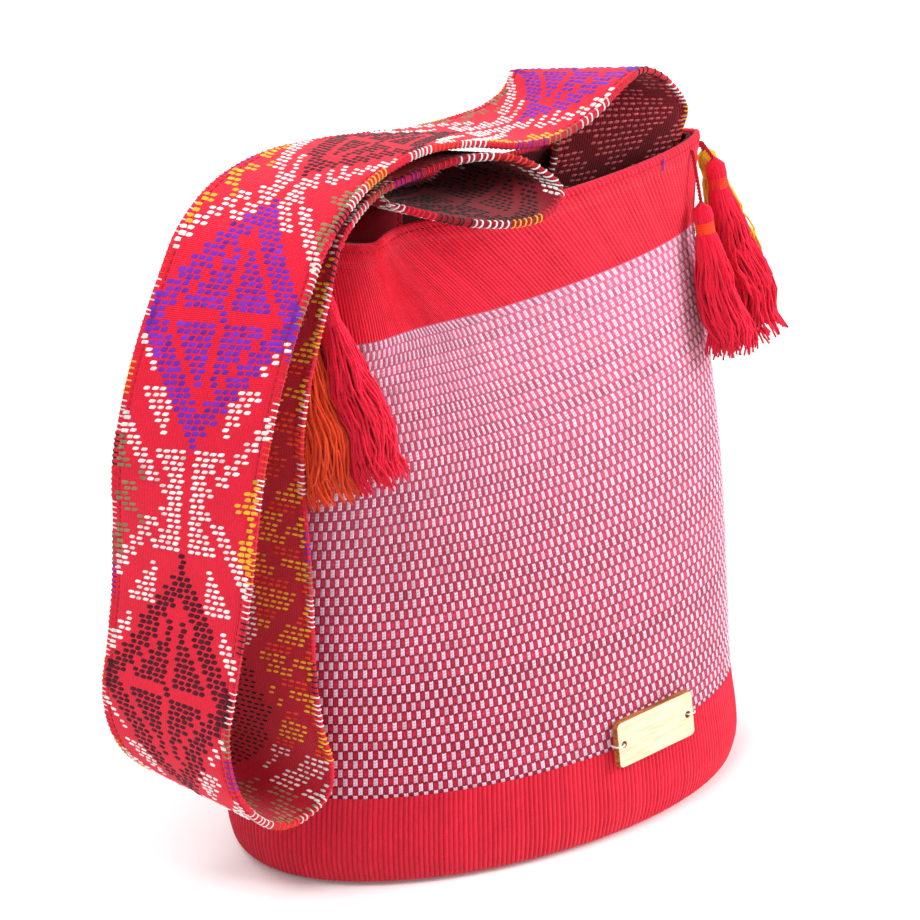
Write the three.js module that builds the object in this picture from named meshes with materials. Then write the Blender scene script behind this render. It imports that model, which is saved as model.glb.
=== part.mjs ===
// A hand-woven bucket shoulder bag with a broad brocade strap, yarn tassels and a bare wooden name plate.
// Millimetres. x runs along the mouth, y to the back and z up; the origin is the middle of the underside.
import * as THREE from "three";

// Cloth, lining and clearances
const bagHeight = 288;
const lowerBandHeight = 43;
const upperBandHeight = 43;
const clothThickness = 1.8;
const ribHeight = 0.7;
const hemDepth = 8;
const hemThickening = 0.45;
const liningThickness = 1;
const facingDepth = 36;
const basePanelThickness = 2.6;
const boardThickness = 2;
const seamGap = 0.3;
const clothGap = 0.7;
const rimStepDown = 1.2;
const tipDrop = 2;
const tipInsetRatio = 1.6;

// Levels of the bag: half length, depth to the front and back, shift, turn in degrees and pinch
const base = { half: 119, front: 66, back: 66, shiftX: 1, shiftY: -2, turn: -7, pinch: 0.92 };
const heel = { half: 122, front: 68, back: 68, shiftX: 1, shiftY: -2, turn: -7, pinch: 0.92 };
const belly = { half: 121, front: 66, back: 66, shiftX: 0, shiftY: -1, turn: -6, pinch: 0.95 };
const waist = { half: 120, front: 50, back: 54, shiftX: 0, shiftY: -3, turn: -1, pinch: 1 };
const shoulder = { half: 115, front: 31, back: 36, shiftX: 1, shiftY: -5, turn: 4, pinch: 1.12 };
const bandFoot = { half: 112, front: 27, back: 31, shiftX: 2, shiftY: -6, turn: 5, pinch: 1.15 };
const mouth = { half: 110, front: 28, back: 24, shiftX: 0, shiftY: -7, turn: 2, pinch: 1.35 };
const levels = [
  [0, base],
  [0.05, heel],
  [0.15, belly],
  [0.5, waist],
  [0.78, shoulder],
  [0.85, bandFoot],
  [1, mouth],
];

// The soft fold that leaves the rim at the front left
const foldAngle = 222;
const foldSpread = 9;
const foldProud = 9;
const foldReach = 0.14;
const hollowAngle = 240;
const hollowSpread = 11;
const hollowDepth = 5;

// Facets
const ribCount = 72;
const pointsPerRib = 2;
const outerPoints = ribCount * pointsPerRib;
const innerPoints = 36;
const bandRows = 4;
const panelRows = 12;
const innerRows = 10;
const facingRows = 2;
const threadSides = 6;
const cordSides = 8;

// Strap
const strapWidth = 61;
const strapThickness = 3;
const strapSteps = 88;
const edgeSeamInset = 3.5;
const edgeSeamDepth = 0.35;
const edgeSeamHalfWidth = 0.7;
const edgeRounding = 0.9;

// Tassels
const tasselLength = 84;
const skirtRadius = 8.5;
const headRadius = 4.6;
const neckRadius = 3.4;
const neckAt = 11;
const wrapLength = 4;
const wrapThickness = 1.1;
const hangingCordRadius = 0.9;
const strandRidges = 8;
const strandRidgeShare = 0.11;

// Name plate
const plateLength = 46;
const plateHeight = 21;
const plateThickness = 3;
const plateCorner = 2.5;
const plateHoleRadius = 1.3;
const plateHoleInset = 3.6;
const plateAngle = 293;
const plateLevel = 46;
const plateStandOff = 0.35;
const plateCurveSteps = 5;
const tieRadius = 0.4;
const tieSteps = 14;

// A short loose end of thread over the hem
const tackAngle = 311;
const tackRadius = 0.4;
const tackLength = 7;
const tackSteps = 4;

const colours = {
  red: 0xc8102e,
  darkRed: 0x5a0d18,
  black: 0x16110f,
  board: 0xb9a98a,
  wood: 0xdcbf8c,
  white: 0xf2ecec,
  orange: 0xf06a22,
  yellow: 0xf2a11f,
  purple: 0x3b1a4a,
};

function finish(name, geometry, colour, roughness = 0.9) {
  const material = new THREE.MeshStandardMaterial({ color: colour, roughness, metalness: 0 });
  const mesh = new THREE.Mesh(geometry, material);
  mesh.name = name;
  return mesh;
}

// A smooth curve through [position, value] pairs: cubic pieces whose slopes come from the neighbours.
function smoothThrough(pairs, position) {
  const last = pairs.length - 1;
  let i = 0;
  while (i < last - 1 && position > pairs[i + 1][0]) i++;
  const slope = (k) => {
    const before = pairs[Math.max(k - 1, 0)];
    const after = pairs[Math.min(k + 1, last)];
    return (after[1] - before[1]) / (after[0] - before[0]);
  };
  const span = pairs[i + 1][0] - pairs[i][0];
  const t = (position - pairs[i][0]) / span;
  const t2 = t * t;
  const t3 = t2 * t;
  return (
    (2 * t3 - 3 * t2 + 1) * pairs[i][1] +
    (t3 - 2 * t2 + t) * span * slope(i) +
    (3 * t2 - 2 * t3) * pairs[i + 1][1] +
    (t3 - t2) * span * slope(i + 1)
  );
}

function levelValue(key, share) {
  return smoothThrough(levels.map(([at, level]) => [at, level[key]]), share);
}

function bump(value, middle, spread) {
  return Math.exp(-(((value - middle) / spread) ** 2));
}

// A point of the wall: angle in degrees round the section from the right end, height, and distance inwards.
function wallPoint(angle, height, inset = 0) {
  const share = Math.min(Math.max(height / bagHeight, 0), 1);
  const radians = THREE.MathUtils.degToRad(angle);
  const along = Math.cos(radians);
  const across = Math.sin(radians);
  const depth = levelValue(across < 0 ? "front" : "back", share) - inset;
  const round = ((angle % 360) + 360) % 360;
  const fold =
    foldProud * bump(round, foldAngle, foldSpread) * bump(share, 1, foldReach) -
    hollowDepth * bump(round, hollowAngle, hollowSpread) * bump(share, 1, foldReach);
  const x = (levelValue("half", share) - inset * tipInsetRatio) * along;
  const y = depth * Math.sign(across) * Math.abs(across) ** levelValue("pinch", share) - fold;
  const turn = THREE.MathUtils.degToRad(levelValue("turn", share));
  return new THREE.Vector3(
    x * Math.cos(turn) - y * Math.sin(turn) + levelValue("shiftX", share),
    x * Math.sin(turn) + y * Math.cos(turn) + levelValue("shiftY", share),
    height - tipDrop * Math.abs(along) ** 3 * share ** 6,
  );
}

function wallNormal(angle, height) {
  const round = wallPoint(angle + 1, height).sub(wallPoint(angle - 1, height));
  const up = wallPoint(angle, height + 1).sub(wallPoint(angle, height - 1));
  return round.cross(up).normalize();
}

function ring(count, place) {
  return Array.from({ length: count }, (_, i) => place(i, (360 * i) / count));
}

// Triangles between two rings, one of which has a whole number of points for each point of the other.
function bridge(faces, lower, upper, flip = false) {
  const most = Math.max(lower.length, upper.length);
  const low = (k) => lower[Math.floor((k * lower.length) / most) % lower.length];
  const high = (k) => upper[Math.floor((k * upper.length) / most) % upper.length];
  const add = (a, b, c) => {
    const isThin = a === b || b === c || a === c;
    if (!isThin) faces.push(flip ? [b, a, c] : [a, b, c]);
  };
  for (let k = 0; k < most; k++) {
    add(low(k), low(k + 1), high(k + 1));
    add(low(k), high(k + 1), high(k));
  }
}

// Collects rings of points and the faces between them into one closed geometry.
class Surface {
  points = [];
  faces = [];

  addRing(ringPoints) {
    const first = this.points.length;
    this.points.push(...ringPoints);
    return ringPoints.map((_, i) => first + i);
  }

  addWall(rings, flip = false) {
    const indices = rings.map((one) => this.addRing(one));
    indices.slice(1).forEach((upper, i) => bridge(this.faces, indices[i], upper, flip));
    return indices;
  }

  cap(indices, up) {
    const middle = new THREE.Vector3();
    for (const i of indices) middle.add(this.points[i]);
    const centre = this.points.push(middle.divideScalar(indices.length)) - 1;
    indices.forEach((from, i) => {
      const to = indices[(i + 1) % indices.length];
      this.faces.push(up ? [from, to, centre] : [to, from, centre]);
    });
  }

  geometry() {
    const shape = new THREE.BufferGeometry().setFromPoints(this.points);
    shape.setIndex(this.faces.flat());
    return shape;
  }
}

// A rod whose rings run counter-clockwise seen from its last ring.
function closedRod(rings) {
  const surface = new Surface();
  const walls = surface.addWall(rings);
  surface.cap(walls[0], false);
  surface.cap(walls.at(-1), true);
  return surface.geometry();
}

// A tube wall: rings of its outside and of its inside, both from the bottom up.
function openTube(outside, inside) {
  const surface = new Surface();
  const outer = surface.addWall(outside);
  const inner = surface.addWall(inside, true);
  bridge(surface.faces, outer.at(-1), inner.at(-1));
  bridge(surface.faces, outer[0], inner[0], true);
  return surface.geometry();
}

// A cup: as a tube, with a floor under it.
function openCup(outside, inside) {
  const surface = new Surface();
  const outer = surface.addWall(outside);
  const inner = surface.addWall(inside, true);
  bridge(surface.faces, outer.at(-1), inner.at(-1));
  surface.cap(outer[0], false);
  surface.cap(inner[0], true);
  return surface.geometry();
}

function span(from, to, steps) {
  return Array.from({ length: steps + 1 }, (_, i) => from + ((to - from) * i) / steps);
}

// Heights from one end to the other that keep to the same levels on every inner layer.
function sharedHeights(from, to) {
  const nearest = 2;
  const facingFoot = bagHeight - facingDepth;
  const shared = [...span(0, facingFoot, innerRows), ...span(facingFoot, bagHeight, facingRows).slice(1)];
  return [from, ...shared.filter((at) => at > from + nearest && at < to - nearest), to];
}

function innerRings(heights, inset) {
  return heights.map((height) => ring(innerPoints, (_, angle) => wallPoint(angle, height, inset)));
}

// The woven tube: ribs run straight up the two plain bands and step sideways from row to row on the panel.
function makeBodyCloth() {
  const bottom = basePanelThickness + seamGap;
  const panelBottom = lowerBandHeight;
  const panelTop = bagHeight - upperBandHeight;
  const hemFoot = bagHeight - hemDepth;
  const outerHeights = [
    ...span(bottom, panelBottom, bandRows - 1),
    ...span(panelBottom, panelTop, panelRows).slice(1),
    ...span(panelTop, hemFoot, bandRows - 1).slice(1),
    hemFoot + hemThickening,
    bagHeight,
  ];
  const outerRings = outerHeights.map((height, row) => {
    const onPanel = height > panelBottom + seamGap && height < panelTop - seamGap;
    const hem = height > hemFoot ? hemThickening : 0;
    return ring(outerPoints, (i, angle) => {
      const raised = (i + (onPanel ? row : 0)) % pointsPerRib === 0;
      return wallPoint(angle, height, raised ? -hem : ribHeight - hem);
    });
  });
  return openTube(outerRings, innerRings(sharedHeights(bottom, bagHeight), clothThickness + ribHeight));
}

const lineInset = clothThickness + ribHeight + clothGap;

function makeFacing() {
  const heights = sharedHeights(bagHeight - facingDepth, bagHeight - rimStepDown);
  return openTube(innerRings(heights, lineInset), innerRings(heights, lineInset + liningThickness));
}

function makeLining() {
  const floor = basePanelThickness + boardThickness + 2 * seamGap;
  const top = bagHeight - facingDepth - seamGap;
  const outer = innerRings(sharedHeights(floor, top), lineInset);
  const inner = innerRings(sharedHeights(floor + liningThickness, top), lineInset + liningThickness);
  return openCup(outer, inner);
}

// A flat oval that follows the wall's foot.
function makeOval(bottom, thickness, inset) {
  const edge = (height) =>
    ring(innerPoints * 2, (_, angle) => {
      const foot = wallPoint(angle, 0, inset);
      return new THREE.Vector3(foot.x, foot.y, height);
    });
  return closedRod([edge(bottom), edge(bottom + thickness)]);
}

// The strap's route, from its right sewn end to its left one. Each stop gives a point of the front edge, and
// the way across the strap in degrees: its turn from x towards the front and its fall to the front edge.
// Over the mouth, x counts in mouth half lengths and z from the rim.
const overMouthOut = [
  [0.87, -3, -33, 11, 0],
  [0.88, -3, -16, 11, 0],
  [0.92, -3, -2, 12, -2],
  [0.94, -4, 9, 18, 3],
  [0.85, -6, 22, 36, 2],
  [0.7, -9, 32, 57, -8],
  [0.5, -20, 32, 76, -9],
  [0.34, -25, 25, 88, -6],
  [0.16, -27, 20, 94, -5],
  [-0.03, -28, 21, 98, -7],
  [-0.24, -29, 27, 97, -12],
  [-0.43, -31, 30, 94, -12],
  [-0.59, -34, 29, 87, -8],
  [-0.76, -38, 24, 78, -2],
  [-0.89, -42, 15, 66, 3],
];
// Outside the left end, x counts from the belly's left end and z from the rim.
const hangingLoop = [
  [11, -46, 4, 56, 4],
  [3, -49, -8, 50, 2],
  [-6, -51, -25, 45, 0],
  [-15, -52, -49, 44, 0],
  [-22, -52, -76, 48, 0],
  [-27, -52, -107, 56, 0],
  [-31, -51, -136, 61, 0],
  [-36, -49, -167, 64, 2],
  [-38, -45, -195, 66, 6],
  [-31, -43, -223, 66, 10],
  [-14, -40, -242, 64, 12],
  [2, -37, -246, 62, 12],
  [14, -38, -238, 62, 10],
  [15, -40, -224, 62, 6],
  [11, -39, -205, 62, 2],
  [9, -38, -182, 62, 0],
  [8, -38, -154, 62, 0],
  [7, -38, -123, 62, 0],
  [5, -38, -92, 62, 0],
  [5, -39, -68, 62, 0],
  [9, -41, -42, 62, 0],
  [14, -44, -17, 64, 0],
  [22, -41, 3, 68, 0],
];
// Back over the mouth to the fold at its middle, and down into the left end.
const overMouthBack = [
  [-0.79, -33, 9, 72, -4],
  [-0.65, -27, 15, 76, -9],
  [-0.5, -26, 18, 78, -12],
  [-0.35, -28, 21, 78, -13],
  [-0.22, -32, 22, 78, -13],
  [-0.1, -38, 20, 76, -10],
  [-0.03, -45, 15, 76, -6],
  [0, -52, 9, 76, -2],
  [-0.06, -56, 4, 76, 0],
  [-0.14, -59, 2.5, 76, 0],
  [-0.26, -58, 2.5, 76, 0],
  [-0.4, -50, 4, 76, 0],
  [-0.52, -38, 7, 72, 0],
  [-0.6, -25, 10, 56, 0],
  [-0.54, -12, 10, 34, 0],
  [-0.45, 0, 7, 10, 0],
  [-0.36, 6, 2, -13, 0],
  [-0.34, 7, -8, -17, 0],
  [-0.34, 7, -20, -17, 0],
  [-0.34, 7, -33, -17, 0],
];

function strapStops() {
  const overMouth = ([x, y, z, turn, fall]) => [x * mouth.half, y, bagHeight + z, turn, fall];
  const beside = ([x, y, z, turn, fall]) => [x - belly.half, y, bagHeight + z, turn, fall];
  return [...overMouthOut.map(overMouth), ...hangingLoop.map(beside), ...overMouthBack.map(overMouth)];
}

// The doubled cloth's section as [across, out of the face] pairs, with a shallow seam line along each edge.
function strapSection() {
  const half = strapWidth / 2;
  const thick = strapThickness / 2;
  const seam = half - edgeSeamInset;
  const face = [
    [half, 0],
    [half - edgeRounding, thick * 0.8],
    [seam + edgeSeamHalfWidth, thick],
    [seam, thick - edgeSeamDepth],
    [seam - edgeSeamHalfWidth, thick],
  ];
  const other = face.slice().reverse().map(([across, out]) => [-across, out]);
  const upper = [...face, ...other];
  const lower = upper.slice(1, -1).reverse().map(([across, out]) => [across, -out]);
  return [...upper, ...lower];
}

function makeStrap() {
  const edgePoint = ([x, y, z, turn, fall], back) => {
    const t = THREE.MathUtils.degToRad(turn);
    const f = THREE.MathUtils.degToRad(fall);
    const across = new THREE.Vector3(Math.cos(t) * Math.cos(f), -Math.sin(t) * Math.cos(f), -Math.sin(f));
    return new THREE.Vector3(x, y, z).addScaledVector(across, -back);
  };
  const frontEdge = new THREE.CatmullRomCurve3(strapStops().map((stop) => edgePoint(stop, 0)));
  const backEdge = new THREE.CatmullRomCurve3(strapStops().map((stop) => edgePoint(stop, strapWidth)));
  const middle = (t) => frontEdge.getPoint(t).add(backEdge.getPoint(t)).multiplyScalar(0.5);
  const section = strapSection();
  const small = 1e-3;
  const rings = span(0, 1, strapSteps).map((t) => {
    const across = frontEdge.getPoint(t).sub(backEdge.getPoint(t)).normalize();
    const ahead = middle(Math.min(t + small, 1)).sub(middle(Math.max(t - small, 0))).normalize();
    const out = new THREE.Vector3().crossVectors(ahead, across).normalize();
    return section.map(([u, v]) => middle(t).addScaledVector(across, u).addScaledVector(out, v));
  });
  return closedRod(rings);
}

// Tassels: the angles where each hangs from the rim and where its skirt lies, how far down its head is,
// how far the skirt stands off the wall, the colours, and its share of the full length where it's short.
const tassels = [
  { name: "left_red", hang: 208, foot: 231, drop: 12, off: 2, yarn: "red", wrap: "red" },
  { name: "left_orange", hang: 198, foot: 220, drop: 16, off: 1, yarn: "orange", wrap: "red" },
  { name: "right_red_upper", hang: -15, foot: -20, drop: 9, off: 3, yarn: "red", wrap: "orange" },
  {
    name: "right_red_lower", hang: -30, foot: -38, drop: 25, off: 1, yarn: "red", wrap: "orange",
    share: 0.8,
  },
  { name: "right_yellow", hang: 10, foot: 2, drop: 8, off: 12, yarn: "yellow", wrap: "yellow" },
];
const hangBelowRim = 5;

function tasselAxis({ hang, foot, drop, off, share = 1 }) {
  const length = tasselLength * share;
  const sewn = wallPoint(hang, bagHeight - hangBelowRim, -(hangingCordRadius + seamGap));
  const level = bagHeight - hangBelowRim - drop;
  const headAngle = hang + (foot - hang) * (drop / length);
  const head = wallPoint(headAngle, level, -(headRadius * (1 + strandRidgeShare) + clothGap));
  const end = wallPoint(foot, level - length, -(skirtRadius * (1 + strandRidgeShare) + off));
  const cordDown = head.clone().sub(sewn).normalize();
  const down = end.sub(head).normalize();
  return { sewn, cordDown, cordLength: head.distanceTo(sewn) - 2 * seamGap, down, head, length };
}

function ringsAlong(start, direction, stations) {
  const side = new THREE.Vector3(0, 0, 1).cross(direction).normalize();
  const front = new THREE.Vector3().crossVectors(direction, side);
  return stations.map(({ at, radius, ridge, count }) =>
    ring(count, (i, angle) => {
      const a = THREE.MathUtils.degToRad(angle);
      const r = radius * (1 + ridge * (i % 2 === 0 ? 1 : -1));
      return start
        .clone()
        .addScaledVector(direction, at)
        .addScaledVector(side, r * Math.cos(a))
        .addScaledVector(front, r * Math.sin(a));
    }),
  );
}

function makeTassel(tassel) {
  const { sewn, cordDown, cordLength, down, head, length } = tasselAxis(tassel);
  const count = strandRidges * 2;
  const wrapEnd = neckAt + wrapLength;
  const yarn = [
    { at: 0, radius: headRadius * 0.35, ridge: 0 },
    { at: headRadius * 0.5, radius: headRadius * 0.85, ridge: strandRidgeShare },
    { at: neckAt * 0.6, radius: headRadius, ridge: strandRidgeShare },
    { at: neckAt, radius: neckRadius, ridge: 0 },
    { at: wrapEnd, radius: neckRadius, ridge: 0 },
    { at: wrapEnd + headRadius, radius: (headRadius + skirtRadius) / 2.3, ridge: strandRidgeShare },
    { at: length * 0.5, radius: skirtRadius * 0.85, ridge: strandRidgeShare },
    { at: length, radius: skirtRadius, ridge: strandRidgeShare },
  ].map((station) => ({ ...station, count }));
  const inner = neckRadius + seamGap;
  const wrapRings = (radius, from, to) =>
    ringsAlong(head, down, [{ at: from }, { at: to }].map(({ at }) => ({ at, radius, ridge: 0, count })));
  const wrap = openTube(
    wrapRings(inner + wrapThickness, neckAt + seamGap, wrapEnd - seamGap),
    wrapRings(inner, neckAt + seamGap, wrapEnd - seamGap),
  );
  const cordStations = [0, cordLength].map((at) => ({
    at,
    radius: hangingCordRadius,
    ridge: 0,
    count: cordSides,
  }));
  return [
    finish(`tassel_${tassel.name}_cord`, closedRod(ringsAlong(sewn, cordDown, cordStations)), colours.red),
    finish(`tassel_${tassel.name}_yarn`, closedRod(ringsAlong(head, down, yarn)), colours[tassel.yarn]),
    finish(`tassel_${tassel.name}_wrap`, wrap, colours[tassel.wrap]),
  ];
}

function roundedPlate(length, height, corner) {
  const x = length / 2;
  const y = height / 2;
  const shape = new THREE.Shape();
  shape.moveTo(-x + corner, -y);
  shape.lineTo(x - corner, -y);
  shape.absarc(x - corner, -y + corner, corner, -Math.PI / 2, 0);
  shape.lineTo(x, y - corner);
  shape.absarc(x - corner, y - corner, corner, 0, Math.PI / 2);
  shape.lineTo(-x + corner, y);
  shape.absarc(-x + corner, y - corner, corner, Math.PI / 2, Math.PI);
  shape.lineTo(-x, -y + corner);
  shape.absarc(-x + corner, -y + corner, corner, Math.PI, 1.5 * Math.PI);
  return shape;
}

function threadAlong(points, radius, steps) {
  const corners = ring(threadSides, (_, angle) => {
    const a = THREE.MathUtils.degToRad(angle);
    return new THREE.Vector2(radius * Math.cos(a), radius * Math.sin(a));
  });
  const section = new THREE.Shape(corners);
  const extrudePath = new THREE.CatmullRomCurve3(points, false, "centripetal");
  return new THREE.ExtrudeGeometry(section, { steps, extrudePath });
}

// A thread that comes out of a hole of the plate, lies over its face and goes round its end.
function makeTie(side) {
  const hole = side * (plateLength / 2 - plateHoleInset);
  const outside = side * (plateLength / 2 + tieRadius + seamGap);
  const back = -plateStandOff;
  const front = plateThickness + tieRadius + seamGap;
  const points = [
    new THREE.Vector3(hole, 0, back),
    new THREE.Vector3(hole, 0, front * 0.8),
    new THREE.Vector3(hole + side * tieRadius * 2, 0, front + tieRadius / 2),
    new THREE.Vector3(outside - side * tieRadius * 2, 0, front + tieRadius / 2),
    new THREE.Vector3(outside, 0, front * 0.8),
    new THREE.Vector3(outside, 0, back),
  ];
  return threadAlong(points, tieRadius, tieSteps);
}

function makePlateGroup() {
  const shape = roundedPlate(plateLength, plateHeight, plateCorner);
  const holeAt = plateLength / 2 - plateHoleInset;
  for (const x of [-holeAt, holeAt]) {
    shape.holes.push(new THREE.Path().absarc(x, 0, plateHoleRadius, 0, 2 * Math.PI));
  }
  const options = { depth: plateThickness, bevelEnabled: false, curveSegments: plateCurveSteps };
  const plate = new THREE.ExtrudeGeometry(shape, options);
  const group = new THREE.Group();
  group.add(finish("name_plate", plate, colours.wood, 0.6));
  group.add(finish("plate_tie_left", makeTie(-1), colours.white));
  group.add(finish("plate_tie_right", makeTie(1), colours.white));
  const normal = wallNormal(plateAngle, plateLevel);
  const right = new THREE.Vector3(0, 0, 1).cross(normal).normalize();
  const up = new THREE.Vector3().crossVectors(normal, right);
  group.applyMatrix4(new THREE.Matrix4().makeBasis(right, up, normal));
  group.position.copy(wallPoint(plateAngle, plateLevel).addScaledVector(normal, plateStandOff));
  return group;
}

function makeTackThread() {
  const at = (below) => wallPoint(tackAngle, bagHeight - below, -(hemThickening + tackRadius + seamGap));
  return threadAlong([at(rimStepDown), at(tackLength / 2), at(tackLength)], tackRadius, tackSteps);
}

const bag = new THREE.Group();
bag.add(finish("body_cloth", makeBodyCloth(), colours.red));
bag.add(finish("base_panel", makeOval(0, basePanelThickness, 0), colours.red));
const boardBottom = basePanelThickness + seamGap;
bag.add(finish("base_board", makeOval(boardBottom, boardThickness, lineInset), colours.board));
bag.add(finish("lining", makeLining(), colours.black));
bag.add(finish("rim_facing", makeFacing(), colours.darkRed));
bag.add(finish("strap", makeStrap(), colours.red));
for (const tassel of tassels) bag.add(...makeTassel(tassel));
bag.add(makePlateGroup());
bag.add(finish("tack_thread", makeTackThread(), colours.purple));

export default bag;
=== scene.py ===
"""Looks of a hand-woven bucket shoulder bag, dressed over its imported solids.

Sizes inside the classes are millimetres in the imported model's frame: x runs along the mouth, y to
the back and z up. They become metres when a mesh is made.
"""

from __future__ import annotations

import logging
from dataclasses import dataclass, field
from enum import Enum

import bmesh
import bpy
import numpy as np
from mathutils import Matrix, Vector


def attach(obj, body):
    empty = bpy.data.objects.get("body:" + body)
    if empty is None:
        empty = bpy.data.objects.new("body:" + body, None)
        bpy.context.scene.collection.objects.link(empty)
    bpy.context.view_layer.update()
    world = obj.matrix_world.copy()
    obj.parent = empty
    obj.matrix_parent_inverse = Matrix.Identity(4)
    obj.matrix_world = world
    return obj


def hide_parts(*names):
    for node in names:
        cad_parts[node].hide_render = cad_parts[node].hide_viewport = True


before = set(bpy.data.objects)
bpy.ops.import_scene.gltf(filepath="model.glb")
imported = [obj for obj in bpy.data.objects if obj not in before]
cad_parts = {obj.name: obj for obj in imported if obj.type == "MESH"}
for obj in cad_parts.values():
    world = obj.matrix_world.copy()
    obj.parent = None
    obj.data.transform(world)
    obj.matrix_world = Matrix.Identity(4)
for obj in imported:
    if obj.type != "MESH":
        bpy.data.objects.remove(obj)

LOG = logging.getLogger("shoulder_bag")
METRES = 0.001
SEED = 20
TINT = "tint"
WEAVE_UV = "weave"


class Side(Enum):
    """Which face of the strap a thread lies on."""

    OUTER = 1.0
    INNER = -1.0


def from_screen(red: float, green: float, blue: float) -> np.ndarray:
    """Turns a colour as it looks on a screen, 0 to 255 a channel, into linear light.

    Args:
        red: Red channel.
        green: Green channel.
        blue: Blue channel.

    Returns:
        Three linear channels from 0 to 1.
    """
    share = np.array([red, green, blue], float) / 255.0
    return np.where(share <= 0.04045, share / 12.92, ((share + 0.055) / 1.055) ** 2.4)


class Dye(Enum):
    """The yarn colours, and colours of painted light and shade, as they look on a screen."""

    RED = (246, 32, 62)
    DEEP_RED = (196, 10, 40)
    CRIMSON = (214, 18, 62)
    GROUND = (150, 6, 40)
    # Painted light: the pink that the panel's deep dyes are paled towards at its top and right end.
    PAINTED_LIGHT_PINK = (255, 130, 172)
    # Painted shade: the red cloth of the facing, darkened as it lies in shadow under the rim.
    PAINTED_SHADE_RED = (78, 5, 14)
    PALE = (255, 218, 238)
    # Painted shade: the pale dashes of the strap's inner face, darkened where that face lies in shadow.
    PAINTED_SHADE_PALE = (214, 96, 104)
    TASSEL_RED = (255, 26, 64)
    ORANGE = (255, 76, 34)
    YELLOW = (255, 190, 50)
    PURPLE = (122, 44, 176)
    MAROON = (78, 4, 26)
    GREEN = (142, 136, 100)
    BLACK = (22, 16, 18)
    WHITE = (250, 246, 244)

    @property
    def linear(self) -> np.ndarray:
        """The colour in linear light."""
        return from_screen(*self.value)

    @property
    def number(self) -> int:
        """Its place among the dyes."""
        return list(Dye).index(self)


@dataclass
class Patch:
    """Grids of points that become one mesh.

    Attributes:
        points: Places in millimetres, one row each.
        faces: Four point numbers a face, counter-clockwise from outside.
        weave: Where each point lies on the cloth, in millimetres.
        tint: Linear colour of each point.
    """

    points: np.ndarray
    faces: np.ndarray
    weave: np.ndarray
    tint: np.ndarray

    @staticmethod
    def joined(patches: list["Patch"]) -> "Patch":
        """Joins several patches into one.

        Args:
            patches: The patches in order.

        Returns:
            One patch that holds all of them.
        """
        starts = np.cumsum([0] + [len(one.points) for one in patches[:-1]])
        return Patch(
            np.concatenate([one.points for one in patches]),
            np.concatenate([one.faces + start for one, start in zip(patches, starts)]),
            np.concatenate([one.weave for one in patches]),
            np.concatenate([one.tint for one in patches]),
        )


def grid_patch(
    points: np.ndarray, weave: np.ndarray, tint: np.ndarray, closed: bool = False, flip: bool = False
) -> Patch:
    """Makes a patch of one grid, or of many grids of one size.

    A grid's rows run up and its columns to the right, seen from outside. Face (r, c) joins the
    points (r, c), (r, c + 1), (r + 1, c + 1) and (r + 1, c).

    Args:
        points: Array (..., rows, columns, 3) in millimetres.
        weave: Array that broadcasts to (..., rows, columns, 2).
        tint: Array that broadcasts to (..., rows, columns, 3).
        closed: Whether the last column joins the first.
        flip: Whether the faces turn the other way.

    Returns:
        The patch.
    """
    rows, columns = points.shape[-3:-1]
    shape = points.shape[:-1]
    count = int(np.prod(shape[:-2], dtype=int))
    r = np.arange(rows - 1)[:, None]
    c = np.arange(columns if closed else columns - 1)[None, :]
    after = (c + 1) % columns
    corners = [r * columns + c, r * columns + after, (r + 1) * columns + after, (r + 1) * columns + c]
    one = np.stack(corners[::-1] if flip else corners, -1).reshape(-1, 4)
    starts = (np.arange(count) * rows * columns)[:, None, None]
    return Patch(
        points.reshape(-1, 3),
        (one[None] + starts).reshape(-1, 4),
        np.broadcast_to(weave, shape + (2,)).reshape(-1, 2),
        np.broadcast_to(tint, shape + (3,)).reshape(-1, 3),
    )


def make_piece(
    name: str, patch: Patch, material: bpy.types.Material, body: str
) -> bpy.types.Object:
    """Makes a patch into an object that rides on a body.

    Args:
        name: The piece's name.
        patch: Its shape, in millimetres.
        material: Its material.
        body: The body it moves with.

    Returns:
        The new object.
    """
    mesh = bpy.data.meshes.new(name)
    faces = patch.faces.astype(np.int32)
    mesh.vertices.add(len(patch.points))
    mesh.vertices.foreach_set("co", (patch.points * METRES).astype(np.float32).ravel())
    mesh.loops.add(faces.size)
    mesh.loops.foreach_set("vertex_index", faces.ravel())
    mesh.polygons.add(len(faces))
    mesh.polygons.foreach_set("loop_start", np.arange(0, faces.size, 4, dtype=np.int32))
    mesh.polygons.foreach_set("use_smooth", np.full(len(faces), True))
    mesh.update(calc_edges=True)
    uv = mesh.uv_layers.new(name=WEAVE_UV)
    uv.data.foreach_set("uv", (patch.weave[faces.ravel()] * 0.1).astype(np.float32).ravel())
    colour = mesh.color_attributes.new(TINT, "FLOAT_COLOR", "POINT")
    rgba = np.ones((len(patch.points), 4), np.float32)
    rgba[:, :3] = patch.tint
    colour.data.foreach_set("color", rgba.ravel())
    mesh.materials.append(material)
    piece = bpy.data.objects.new(name, mesh)
    bpy.context.scene.collection.objects.link(piece)
    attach(piece, body)
    LOG.info("%s: %d faces", name, len(faces))
    return piece


def dress(name: str, material: bpy.types.Material) -> None:
    """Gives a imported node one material."""
    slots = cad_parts[name].data.materials
    slots.clear()
    slots.append(material)


def unit(vectors: np.ndarray) -> np.ndarray:
    """Scales vectors to length one.

    Args:
        vectors: Array (..., 3).

    Returns:
        The same directions at length one.
    """
    return vectors / np.maximum(np.linalg.norm(vectors, axis=-1, keepdims=True), 1e-9)


def crosswise(line: np.ndarray, hint: tuple[float, float, float]) -> tuple[np.ndarray, np.ndarray]:
    """Finds a direction across a line and a hint, and one across the line and the first."""
    side = unit(np.cross(line, hint))
    return side, np.cross(line, side)


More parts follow.
